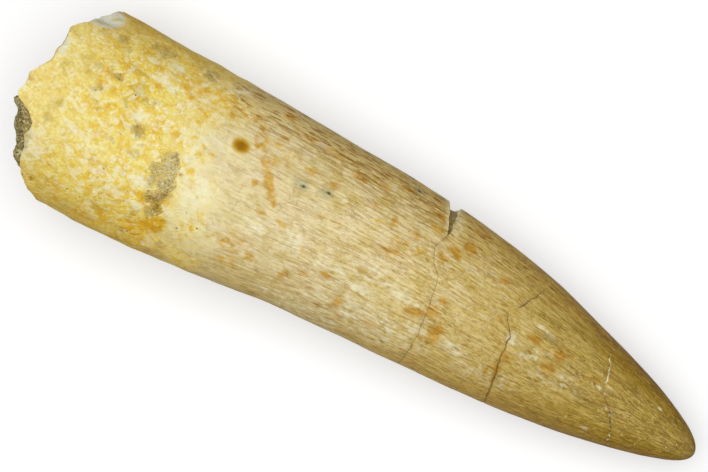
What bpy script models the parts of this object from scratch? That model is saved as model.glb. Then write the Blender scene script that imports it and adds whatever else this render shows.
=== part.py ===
"""Fossil plesiosaur tooth with its root, lying on its side on a small worn flat.

The tooth is one solid. Two bits of the sandy rock that it was dug from are solids of their own: the
plug that fills the broken pulp cavity at the root end, and a thin crust on the flank of the root.

X runs along the tooth from the broken root to the tip, Y runs across it in the plane of its gentle
curve, and Z is up. Angles run round the tooth from the top: 0 is up, 90 is the +Y side.
"""

import math
from collections.abc import Callable
from typing import NamedTuple

import bmesh
import bpy
import numpy as np
from mathutils import Vector, noise

MM = 0.001


class GluedBreak(NamedTuple):
    """A glued break: where it runs, and the width and depth of its groove, at angles round the tooth."""

    line: tuple
    width: tuple
    depth: tuple


# Driving dimensions, in millimetres. The half length also places the origin midway along the tooth.
HALF_LENGTH = 25.6
HEIGHT_TO_WIDTH = 0.92
REST_SINK = 0.12

# Sections along the tooth: x, edge on the +Y side, edge on the -Y side, underside above the rest line.
SECTIONS = (
    (-25.6, 6.80, -6.78, 0.20),
    (-22.0, 6.88, -6.84, 0.03),
    (-18.5, 6.87, -6.87, 0.00),
    (-14.0, 6.75, -6.68, 0.00),
    (-9.0, 6.60, -6.25, 0.00),
    (-4.0, 6.37, -5.66, 0.00),
    (0.5, 6.18, -5.42, 0.00),
    (4.5, 5.86, -5.24, 0.00),
    (8.5, 5.32, -5.04, 0.01),
    (12.5, 4.48, -4.75, 0.22),
    (15.8, 3.50, -4.35, 0.66),
    (18.5, 2.66, -3.90, 1.13),
    (21.2, 1.70, -3.33, 1.72),
    (23.2, 0.82, -2.78, 2.25),
    (24.9, -0.16, -2.12, 2.86),
    (25.6, -1.22, -1.22, 3.74),
)

# Closed lines round the tooth, each point an angle in degrees and an x.
BROKEN_RIM = (
    (-165, -23.8), (-150, -23.3), (-130, -22.6), (-110, -21.8), (-90, -21.3), (-73, -21.9),
    (-62, -22.6), (-54, -23.1), (-37, -23.4), (-21, -23.5), (-17, -24.0), (-13, -24.8),
    (-9, -25.4), (3, -25.3), (8, -25.0), (16, -24.5), (40, -24.3), (46, -23.9),
    (52, -23.4), (64, -23.0), (74, -22.5), (90, -21.7), (110, -22.0), (130, -22.9),
    (150, -24.0), (172, -24.1),
)
ENAMEL_LINE = (
    (-150, -10.5), (-120, -9.8), (-90, -9.7), (-56, -10.0), (-34, -10.5), (-12, -11.3),
    (8, -12.1), (35, -12.1), (72, -11.8), (110, -12.0), (140, -12.2), (175, -11.5),
)
NOTCHED_BREAK = GluedBreak(
    line=(
        (-150, 4.6), (-110, 5.0), (-74, 5.36), (-58, 5.43), (-34, 5.54), (-18, 5.36),
        (-7, 5.2), (10, 4.87), (17, 4.17), (28, 3.8), (41, 4.03), (50, 3.84),
        (65, 3.63), (80, 3.35), (95, 3.35), (110, 3.5), (140, 3.9), (175, 4.3),
    ),
    width=((-180, 0.14), (41, 0.16), (55, 0.5), (80, 1.05), (100, 0.9), (118, 0.14)),
    depth=((-180, 0.06), (41, 0.10), (52, 0.40), (80, 0.50), (100, 0.45), (118, 0.06)),
)
MIDDLE_BREAK = GluedBreak(
    line=(
        (-150, 11.2), (-110, 11.6), (-58, 11.47), (-40, 11.34), (-31, 11.25), (-16, 10.99),
        (-4, 10.95), (2, 10.88), (11, 10.35), (25, 10.75), (40, 11.29), (50, 11.55),
        (74, 12.0), (110, 11.8), (150, 11.3),
    ),
    width=((-180, 0.12), (-58, 0.24), (-16, 0.18), (15, 0.12), (40, 0.14), (180, 0.12)),
    depth=((-180, 0.05), (-70, 0.10), (-40, 0.18), (-16, 0.12), (15, 0.04), (40, 0.08)),
)
TIP_BREAK = GluedBreak(
    line=(
        (-150, 19.6), (-90, 20.3), (-43, 19.95), (-28, 19.5), (-17, 19.4), (-9, 18.95),
        (0, 18.4), (13, 18.05), (34, 17.9), (44, 17.5), (80, 17.9), (130, 18.6),
    ),
    width=((-180, 0.12), (180, 0.12)),
    depth=((-180, 0.04), (-40, 0.08), (-10, 0.12), (20, 0.06), (60, 0.04)),
)

# Striae of the enamel: one ridge to each pair of columns of the mesh, each starting at its own place.
COLUMNS = 96
RIDGE_HEIGHT = 0.055
RIDGES_START_OVER = 1.5
RIDGES_START_SCATTER = 3.0
RIDGES_FADE_FROM = 17.0
RIDGES_FADE_OVER = 6.0

# Rings of the mesh between one line and the next, and from the last break to the tip.
ROOT_RINGS = 8
CROWN_RINGS = 6
BETWEEN_BREAKS_RINGS = 3
TIP_RINGS = 5

# Relief of the root: lumps, and hollows given as angle, x, radius and depth.
ROOT_LUMP_SIZE = 3.2
ROOT_LUMP_HEIGHT = 0.13
CROWN_LUMP_HEIGHT = 0.04
HOLLOWS = (
    (58.0, -18.1, 1.1, 0.22),
    (4.0, -17.2, 0.8, 0.20),
    (-55.0, -12.9, 1.3, 0.28),
    (64.0, -22.6, 1.2, 0.38),
    (150.0, -16.5, 1.5, 0.30),
    (-140.0, -19.0, 1.2, 0.25),
)

# The pulp cavity, an oval hole that opens in the broken end nearer to the -Y side.
CAVITY_Y = -2.55
CAVITY_Z = 8.0
CAVITY_HALF_WIDTH = 2.95
CAVITY_HALF_HEIGHT = 3.55
CAVITY_EDGE_X = -21.1
CAVITY_FLOOR_X = -20.3
FIT_GAP = 0.1

# The broken end face is dished: its mouth is half way from the rim to this depth.
FACE_DEPTH_X = -22.5
FACE_GRAIN_SIZE = 0.8
FACE_GRAIN_HEIGHT = 0.12

# The plug of matrix in the cavity: how far it bulges out, its grain, and its nub.
PLUG_COLUMNS = 28
PLUG_REACH_X = -25.05
PLUG_LEAN = 0.32
PLUG_GRAIN_SIZE = 0.8
PLUG_GRAIN_HEIGHT = 0.14
PLUG_NUB_Y = -1.5
PLUG_NUB_Z = 9.4
PLUG_NUB_RADIUS = 0.7
PLUG_NUB_HEIGHT = 0.55

# The crust of matrix on the flank: its middle, half sizes, lean along the tooth, and grain.
CRUST_ANGLE = -15.5
CRUST_X = -14.35
CRUST_HALF_LENGTH = 0.95
CRUST_HALF_ARC = 16.0
CRUST_HALF_THICKNESS = 0.32
CRUST_LEAN = -0.4
CRUST_GRAIN_SIZE = 0.4
CRUST_GRAIN_HEIGHT = 0.5

# Colour and roughness of each piece, and the angle in degrees over which an edge shows sharp.
SHARP_ANGLE = 16.0
FINISHES = {
    "tooth": ((0.64, 0.48, 0.18), 0.42),
    "matrix_plug": ((0.34, 0.28, 0.10), 0.9),
    "matrix_crust": ((0.56, 0.46, 0.21), 0.9),
}


def smooth_step(low: float, high: float, value: float) -> float:
    """0 below low, 1 above high, and a smooth rise between them."""
    share = min(1.0, max(0.0, (value - low) / (high - low)))
    return share * share * (3 - 2 * share)


def through(knots: np.ndarray, values: np.ndarray, at: float) -> float:
    """The smooth curve through values at rising knots, read at one place."""
    slopes = np.gradient(values, knots)
    i = int(np.clip(np.searchsorted(knots, at) - 1, 0, len(knots) - 2))
    step = knots[i + 1] - knots[i]
    t = (at - knots[i]) / step
    rise = values[i + 1] - values[i]
    return float(
        values[i]
        + t * t * (3 - 2 * t) * rise
        + step * t * (1 - t) * ((1 - t) * slopes[i] - t * slopes[i + 1])
    )


def from_tip(x: float) -> float:
    """Root of the distance from the tip. A smooth outline in it closes in a round, blunt point."""
    return math.sqrt(max(0.0, HALF_LENGTH - x))


SECTION_KNOTS = np.array([from_tip(row[0]) for row in reversed(SECTIONS)])
SECTION_VALUES = np.array([row[1:] for row in reversed(SECTIONS)])


def section(x: float) -> tuple[float, float, float, float]:
    """Centre y and z, half width and half height of the tooth at x."""
    upper, lower, under = (through(SECTION_KNOTS, SECTION_VALUES[:, k], from_tip(x)) for k in range(3))
    half_width = (upper - lower) / 2
    half_height = half_width * HEIGHT_TO_WIDTH
    return (upper + lower) / 2, under + half_height - REST_SINK, half_width, half_height


def round_line(line: tuple, angle: float) -> float:
    """Value at an angle of a closed line of (degrees, value) points."""
    degrees, values = zip(*line)
    return float(np.interp(angle, degrees, values, period=360))


def on_tooth(x: float, angle: float, raised: float) -> Vector:
    """Point at x and an angle in degrees, raised from the plain section, in millimetres."""
    y, z, half_width, half_height = section(x)
    turn = math.radians(angle)
    across = (half_width + raised) * math.sin(turn)
    up = (half_height + raised) * math.cos(turn)
    return Vector((x, y + across, z + up))


def hollow_depth(x: float, angle: float) -> float:
    """Depth of the shallow hollows of the root at a place on its surface."""
    half_width = section(x)[2]
    depth = 0.0
    for hollow_angle, hollow_x, radius, deepest in HOLLOWS:
        turn = math.radians((angle - hollow_angle + 180) % 360 - 180)
        away = math.hypot(x - hollow_x, turn * half_width) / radius
        depth += deepest * math.exp(-away * away)
    return depth


def relief(x: float, angle: float, column: int) -> float:
    """Height of the weathered root or the ridged enamel over the plain section."""
    turn = math.radians(angle)
    radius = section(x)[2]
    spot = Vector((x, radius * math.sin(turn), radius * math.cos(turn))) / ROOT_LUMP_SIZE
    past_line = x - round_line(ENAMEL_LINE, angle)
    enamel = smooth_step(0.0, RIDGES_START_OVER, past_line)
    lump_height = ROOT_LUMP_HEIGHT + (CROWN_LUMP_HEIGHT - ROOT_LUMP_HEIGHT) * enamel
    pair_start = RIDGES_START_SCATTER * abs(noise.noise(Vector((0.5 + column // 2, 0.5, 0.5))))
    rise = smooth_step(pair_start, pair_start + RIDGES_START_OVER, past_line)
    fade = 1 - smooth_step(RIDGES_FADE_FROM, RIDGES_FADE_FROM + RIDGES_FADE_OVER, x)
    ridge = RIDGE_HEIGHT * rise * fade * (1 if column % 2 == 0 else -1)
    return lump_height * noise.noise(spot) + ridge - hollow_depth(x, angle)


def ring(columns: int, place: Callable[[int, float], Vector]) -> list[Vector]:
    """Points round the tooth, one for each column, from a function of column and angle."""
    return [place(j, 360 * j / columns) for j in range(columns)]


def surface_ring(x_at: Callable[[float], float], drop_at: Callable[[float], float]) -> list[Vector]:
    """A ring on the tooth's surface, along x_at(angle), sunk by drop_at(angle)."""

    def place(column: int, angle: float) -> Vector:
        x = x_at(angle)
        return on_tooth(x, angle, relief(x, angle, column) - drop_at(angle))

    return ring(COLUMNS, place)


def level(_angle: float) -> float:
    """No drop, for a ring that lies on the surface."""
    return 0.0


def rings_between(
    start: Callable[[float], float], end: Callable[[float], float], count: int
) -> list[list[Vector]]:
    """Rings spaced evenly between two lines round the tooth, without the two lines themselves."""
    found = []
    for k in range(1, count + 1):
        share = k / (count + 1)
        found.append(surface_ring(lambda a, f=share: start(a) * (1 - f) + end(a) * f, level))
    return found


def break_rings(glued: GluedBreak) -> list[list[Vector]]:
    """Rings of one glued break: a steep wall on the root side and a sloping one on the tip side."""
    steep_wall, floor_share, floor_depth = 0.15, 0.5, 0.7

    def across(share: float) -> Callable[[float], float]:
        return lambda a: round_line(glued.line, a) + share * round_line(glued.width, a)

    def sunk(share: float) -> Callable[[float], float]:
        return lambda a: share * round_line(glued.depth, a)

    return [
        surface_ring(across(0), level),
        surface_ring(across(steep_wall), sunk(1)),
        surface_ring(across(floor_share), sunk(floor_depth)),
        surface_ring(across(1), level),
    ]


def along(line: tuple) -> Callable[[float], float]:
    """A closed line as a function of the angle."""
    return lambda a: round_line(line, a)


def far_side(glued: GluedBreak) -> Callable[[float], float]:
    """The tip side of a glued break as a function of the angle."""
    return lambda a: round_line(glued.line, a) + round_line(glued.width, a)


def tip_rings(start: Callable[[float], float]) -> list[list[Vector]]:
    """Rings that close on the tip, spaced evenly in the root of the distance from it."""
    found = []
    for k in range(1, TIP_RINGS + 1):
        share = 1 - k / (TIP_RINGS + 1)
        found.append(surface_ring(lambda a, f=share: HALF_LENGTH - (f * from_tip(start(a))) ** 2, level))
    return found


def cavity_point(x: float, angle: float, shrink: float) -> Vector:
    """Point on the wall of the pulp cavity, or inside it by shrink."""
    turn = math.radians(angle)
    return Vector(
        (
            x,
            CAVITY_Y + (CAVITY_HALF_WIDTH - shrink) * math.sin(turn),
            CAVITY_Z + (CAVITY_HALF_HEIGHT - shrink) * math.cos(turn),
        )
    )


def mouth_x(angle: float) -> float:
    """Where the cavity's wall meets the broken end face."""
    return (FACE_DEPTH_X + round_line(BROKEN_RIM, angle)) / 2


def end_rings() -> list[list[Vector]]:
    """Rings from the cavity's floor, up its wall and out over the broken end to the rim."""
    floor_share, face_shares = 0.55, (0.35, 0.7, 0.93)

    def floor(_column: int, angle: float) -> Vector:
        middle = Vector((CAVITY_FLOOR_X, CAVITY_Y, CAVITY_Z))
        return middle.lerp(cavity_point(CAVITY_FLOOR_X, angle, 0), floor_share)

    def wall(_column: int, angle: float) -> Vector:
        return cavity_point(CAVITY_EDGE_X, angle, 0)

    def mouth(_column: int, angle: float) -> Vector:
        return cavity_point(mouth_x(angle), angle, 0)

    def face(share: float) -> Callable[[int, float], Vector]:
        def place(column: int, angle: float) -> Vector:
            x = round_line(BROKEN_RIM, angle)
            rim = on_tooth(x, angle, relief(x, angle, column))
            point = mouth(column, angle).lerp(rim, share)
            point.x += FACE_GRAIN_HEIGHT * noise.noise(point / FACE_GRAIN_SIZE)
            return point

        return place

    return [ring(COLUMNS, floor), ring(COLUMNS, wall), ring(COLUMNS, mouth)] + [
        ring(COLUMNS, face(share)) for share in face_shares
    ]


def plug_rings() -> tuple[Vector, list[list[Vector]], Vector]:
    """Inner end point, rings and outer end point of the matrix that fills the cavity."""
    inner_x = CAVITY_EDGE_X - FIT_GAP
    dome_shares = (0.93, 0.76, 0.55, 0.3)

    def wall(at: Callable[[float], float]) -> list[Vector]:
        return ring(PLUG_COLUMNS, lambda _column, angle: cavity_point(at(angle), angle, FIT_GAP))

    def dome(share: float) -> Callable[[int, float], Vector]:
        def place(_column: int, angle: float) -> Vector:
            edge = cavity_point(mouth_x(angle), angle, FIT_GAP)
            point = Vector((edge.x, CAVITY_Y, CAVITY_Z)).lerp(edge, share)
            reach = PLUG_REACH_X - PLUG_LEAN * (point.y - CAVITY_Y)
            bulge = math.sqrt(1 - share * share)
            point.x += (reach - point.x) * bulge
            point.x += PLUG_GRAIN_HEIGHT * noise.noise(point / PLUG_GRAIN_SIZE)
            nub = math.hypot(point.y - PLUG_NUB_Y, point.z - PLUG_NUB_Z) / PLUG_NUB_RADIUS
            point.x -= PLUG_NUB_HEIGHT * math.exp(-nub * nub)
            return point

        return place

    rings = [wall(lambda _a: inner_x), wall(lambda a: (inner_x + mouth_x(a)) / 2), wall(mouth_x)]
    rings += [ring(PLUG_COLUMNS, dome(share)) for share in dome_shares]
    outer = Vector((PLUG_REACH_X, CAVITY_Y, CAVITY_Z))
    return Vector((inner_x, CAVITY_Y, CAVITY_Z)), rings, outer


def new_object(name: str, bm: bmesh.types.BMesh) -> bpy.types.Object:
    """Object of a finished bmesh in millimetres, scaled to metres, with faces pointing out."""
    bmesh.ops.scale(bm, vec=(MM, MM, MM), verts=bm.verts)
    bmesh.ops.recalc_face_normals(bm, faces=bm.faces)
    mesh = bpy.data.meshes.new(name)
    bm.to_mesh(mesh)
    bm.free()
    made = bpy.data.objects.new(name, mesh)
    bpy.context.scene.collection.objects.link(made)
    return made


def loft(name: str, start: Vector, rings: list[list[Vector]], end: Vector) -> bpy.types.Object:
    """Closed solid through rings of equal count, with a point at either end."""
    bm = bmesh.new()
    rows = [[bm.verts.new(point) for point in points] for points in rings]
    count = len(rows[0])
    for row, following in zip(rows, rows[1:]):
        for j in range(count):
            k = (j + 1) % count
            bm.faces.new((row[j], row[k], following[k], following[j]))
    for row, point in ((rows[0], start), (rows[-1], end)):
        pole = bm.verts.new(point)
        for j in range(count):
            bm.faces.new((row[j], row[(j + 1) % count], pole))
    return new_object(name, bm)


def rest_on_floor(rings: list[list[Vector]]) -> None:
    """Wears the underside flat where it would pass below the floor."""
    for points in rings:
        for point in points:
            point.z = max(point.z, 0.0)


def build_tooth() -> bpy.types.Object:
    """The tooth: broken end, root, ridged crown with its three glued breaks, and tip."""
    rings = end_rings()
    rings.append(surface_ring(along(BROKEN_RIM), level))
    rings += rings_between(along(BROKEN_RIM), along(ENAMEL_LINE), ROOT_RINGS)
    rings.append(surface_ring(along(ENAMEL_LINE), level))
    rings += rings_between(along(ENAMEL_LINE), along(NOTCHED_BREAK.line), CROWN_RINGS)
    rings += break_rings(NOTCHED_BREAK)
    rings += rings_between(far_side(NOTCHED_BREAK), along(MIDDLE_BREAK.line), BETWEEN_BREAKS_RINGS)
    rings += break_rings(MIDDLE_BREAK)
    rings += rings_between(far_side(MIDDLE_BREAK), along(TIP_BREAK.line), BETWEEN_BREAKS_RINGS)
    rings += break_rings(TIP_BREAK)
    rings += tip_rings(far_side(TIP_BREAK))
    rest_on_floor(rings)
    y, z, _, _ = section(HALF_LENGTH)
    floor_middle = Vector((CAVITY_FLOOR_X, CAVITY_Y, CAVITY_Z))
    return loft("tooth", floor_middle, rings, Vector((HALF_LENGTH, y, z)))


def crust_shape(name: str, grown: float) -> bpy.types.Object:
    """The crust as a lumpy ball pressed along the tooth's curved flank, grown all over by a distance."""
    bm = bmesh.new()
    bmesh.ops.create_icosphere(bm, subdivisions=3, radius=1)
    radius = section(CRUST_X)[2]
    for vert in bm.verts:
        along, round_by, out = vert.co
        grain = 1 + CRUST_GRAIN_HEIGHT * noise.noise(vert.co / CRUST_GRAIN_SIZE)
        angle = CRUST_ANGLE + (CRUST_HALF_ARC * grain + math.degrees(grown / radius)) * round_by
        x = CRUST_X + (CRUST_HALF_LENGTH * grain + grown) * along + CRUST_LEAN * round_by
        vert.co = on_tooth(x, angle, out * (CRUST_HALF_THICKNESS * grain + grown))
    return new_object(name, bm)


def cut(target: bpy.types.Object, cutter: bpy.types.Object) -> None:
    """Cuts one object from another and leaves the cutter out of the render."""
    boolean = target.modifiers.new(f"{cutter.name}_cut", "BOOLEAN")
    boolean.operation = "DIFFERENCE"
    boolean.object = cutter
    cutter.hide_render = True
    cutter.display_type = "WIRE"


def dress(target: bpy.types.Object) -> None:
    """Gives an object its material and smooth shading with its ridges and breaks kept sharp."""
    colour, roughness = FINISHES[target.name]
    material = bpy.data.materials.new(target.name)
    material.use_nodes = True
    shader = material.node_tree.nodes["Principled BSDF"]
    shader.inputs["Base Color"].default_value = (*colour, 1.0)
    shader.inputs["Roughness"].default_value = roughness
    shader.inputs["Metallic"].default_value = 0.0
    target.data.materials.append(material)
    target.data.shade_smooth()
    target.data.set_sharp_from_angle(angle=math.radians(SHARP_ANGLE))


def main() -> None:
    """Clears the scene and builds the tooth and the matrix on it."""
    for old in list(bpy.data.objects):
        bpy.data.objects.remove(old)
    tooth = build_tooth()
    plug = loft("matrix_plug", *plug_rings())
    crust = crust_shape("matrix_crust", 0.0)
    cut(tooth, crust_shape("crust_seat_cutter", FIT_GAP))
    for made in (tooth, plug, crust):
        dress(made)


main()
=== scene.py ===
"""Looks of a fossil plesiosaur tooth that lies on its side on a pale floor, seen from above.

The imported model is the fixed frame. Three pieces take the place of its three solids: the tooth with its
fine ridges, glued breaks, chips and weathered root, and the two bits of sandy rock that cling to it.

Sizes are in millimetres and angles in degrees. X runs along the tooth from the broken root to the tip,
Y runs across it and Z is up. Angles run round the tooth from the top, and 90 is the +Y side.
"""

import logging
import math
from dataclasses import dataclass
from enum import Enum

import bmesh
import bpy
import numpy as np
from mathutils import Matrix, Vector, noise


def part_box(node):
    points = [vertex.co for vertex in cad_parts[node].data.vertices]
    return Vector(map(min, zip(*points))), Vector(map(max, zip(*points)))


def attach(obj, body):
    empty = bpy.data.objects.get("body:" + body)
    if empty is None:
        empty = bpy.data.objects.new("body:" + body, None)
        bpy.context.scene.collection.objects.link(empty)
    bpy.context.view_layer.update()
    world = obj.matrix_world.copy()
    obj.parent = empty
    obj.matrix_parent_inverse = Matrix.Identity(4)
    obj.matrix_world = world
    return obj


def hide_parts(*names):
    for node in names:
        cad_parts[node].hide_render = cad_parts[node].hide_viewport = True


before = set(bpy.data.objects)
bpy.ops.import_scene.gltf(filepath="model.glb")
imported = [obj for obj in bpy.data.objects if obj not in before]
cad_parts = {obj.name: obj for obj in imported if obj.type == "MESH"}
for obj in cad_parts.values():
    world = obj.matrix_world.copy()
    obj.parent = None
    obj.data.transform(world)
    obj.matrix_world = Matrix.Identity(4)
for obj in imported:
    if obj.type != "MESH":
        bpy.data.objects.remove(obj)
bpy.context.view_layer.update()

log = logging.getLogger("tooth")

MM = 0.001
Socket = bpy.types.NodeSocket
Colour = tuple[float, float, float, float]
Stops = tuple[tuple[float, Colour], ...]
Triple = tuple[float, float, float]


class Layer(Enum):
    """Values that the meshes carry for their materials."""

    PLACE = "place"
    GRAIN = "grain"
    PAST_LINE = "past_enamel_line"
    VALLEY = "valley"
    FLANK = "flank"
    COATING = "matrix_coating"
    GROOVE = "groove"
    FILL = "pale_fill"
    FLOOR = "notch_floor"
    BEVEL = "notch_bevel"
    CHIP = "chip"
    GOLD = "gold_stain"
    RUST = "rust_stain"
    BROWN = "brown_spot"
    SLATE = "slate_speck"
    GREY = "grey_stain"
    PALE = "pale_patch"


class Skin(Enum):
    """Material places of the tooth."""

    OUTSIDE = 0
    BROKEN_END = 1


def srgb(red: float, green: float, blue: float) -> Colour:
    """Linear colour, with full alpha, of display values from 0 to 255."""
    linear = [
        value / 255 / 12.92 if value <= 10 else ((value / 255 + 0.055) / 1.055) ** 2.4
        for value in (red, green, blue)
    ]
    return (*linear, 1.0)


def smooth_step(low: float | np.ndarray, high: float | np.ndarray, value: np.ndarray) -> np.ndarray:
    """0 below low, 1 above high, and a smooth rise between them."""
    share = np.clip((value - low) / (high - low), 0.0, 1.0)
    return share * share * (3 - 2 * share)


def noise_at(points: np.ndarray, size: float, seed: float = 0.0) -> np.ndarray:
    """Smooth noise, about -1 to 1, at points in millimetres.

    Args:
        points: array whose last axis is x, y and z.
        size: distance over which the noise changes.
        seed: shift that gives another pattern.

    Returns:
        Array of the same shape without its last axis.
    """
    rows = (points.reshape(-1, 3) / size + seed).tolist()
    values = np.fromiter((noise.noise(row) for row in rows), float, len(rows))
    return values.reshape(points.shape[:-1])


def grit_at(points: np.ndarray, size: float, seed: float = 0.0) -> np.ndarray:
    """Height from 0 to 1 of rounded grains packed side by side.

    Args:
        points: array of shape (count, 3), in millimetres.
        size: spacing of the grains.
        seed: shift that gives another pattern.

    Returns:
        Array of heights, one to each point.
    """
    rows = (points / size + seed).tolist()
    nearest = np.array([noise.voronoi(row)[0][0] for row in rows])
    return np.sqrt(np.clip(1.0 - (nearest / 0.75) ** 2, 0.0, 1.0))


def mixed_grit_at(points: np.ndarray, size: float, fine_share: float, seed: float) -> tuple[np.ndarray, ...]:
    """Heights of coarse grains and of finer ones between them, and how far each point is sunk among them.

    Args:
        points: array of shape (count, 3), in millimetres.
        size: spacing of the coarse grains.
        fine_share: spacing of the fine grains, as a share of that.
        seed: shift of the fine grains' pattern.

    Returns:
        Three arrays, one number to each point.
    """
    coarse, fine = grit_at(points, size), grit_at(points, size * fine_share, seed)
    return coarse, fine, np.clip(1 - coarse, 0, 1) * 0.8 + np.clip(1 - fine, 0, 1) * 0.3


@dataclass(frozen=True)
class ClosedLine:
    """A line round the tooth: values at rising angles, joined across the seam, with a fine jitter."""

    points: tuple[tuple[float, float], ...]
    jitter: float = 0.0
    seed: float = 0.0

    def at(self, angles: np.ndarray) -> np.ndarray:
        """Values at angles in degrees."""
        degrees, values = zip(*self.points)
        found = np.interp(angles, degrees, values, period=360)
        if self.jitter:
            turn = np.radians(angles)
            loop = np.stack([0 * turn, 6 * np.sin(turn), 6 * np.cos(turn)], axis=-1)
            found = found + self.jitter * noise_at(loop, 0.7, self.seed)
            found = found + 0.5 * self.jitter * noise_at(loop, 0.28, self.seed + 9.0)
        return found


def around(*points: tuple[float, float], jitter: float = 0.0, seed: float = 0.0) -> ClosedLine:
    """A line round the tooth through points of angle and value."""
    return ClosedLine(points, jitter, seed)


@dataclass(frozen=True)
class GluedBreak:
    """A glued break: where it runs, the width and depth of its groove, how dark and how filled it is."""

    line: ClosedLine
    width: ClosedLine
    depth: ClosedLine
    dark: ClosedLine
    fill: ClosedLine = around((-180, 0.0), (180, 0.0))

    def far_side(self, angles: np.ndarray) -> np.ndarray:
        """The side of the groove nearer to the tip."""
        return self.line.at(angles) + self.width.at(angles)


@dataclass(frozen=True)
class Spot:
    """An oval patch on the top side: its middle, radii along and across, strength and turn."""

    x: float
    y: float
    along: float
    across: float
    strength: float = 1.0
    turn: float = 0.0

    def cover(self, place: np.ndarray) -> np.ndarray:
        """How strongly the patch covers points of the top side."""
        turn = math.radians(self.turn)
        x, y = place[:, 0] - self.x, place[:, 1] - self.y
        along = (x * math.cos(turn) + y * math.sin(turn)) / self.along
        across = (y * math.cos(turn) - x * math.sin(turn)) / self.across
        away = along**2 + across**2
        return self.strength * np.exp(-0.7 * away**1.5)


def spots(*rows: tuple[float, ...]) -> tuple[Spot, ...]:
    """Spots from rows of x, y, along, across, strength and turn."""
    return tuple(Spot(*row) for row in rows)


def cover_of(marks: tuple[Spot, ...], place: np.ndarray) -> np.ndarray:
    """How strongly the strongest of some spots covers each point of the top side."""
    return np.max([spot.cover(place) for spot in marks], axis=0)


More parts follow.
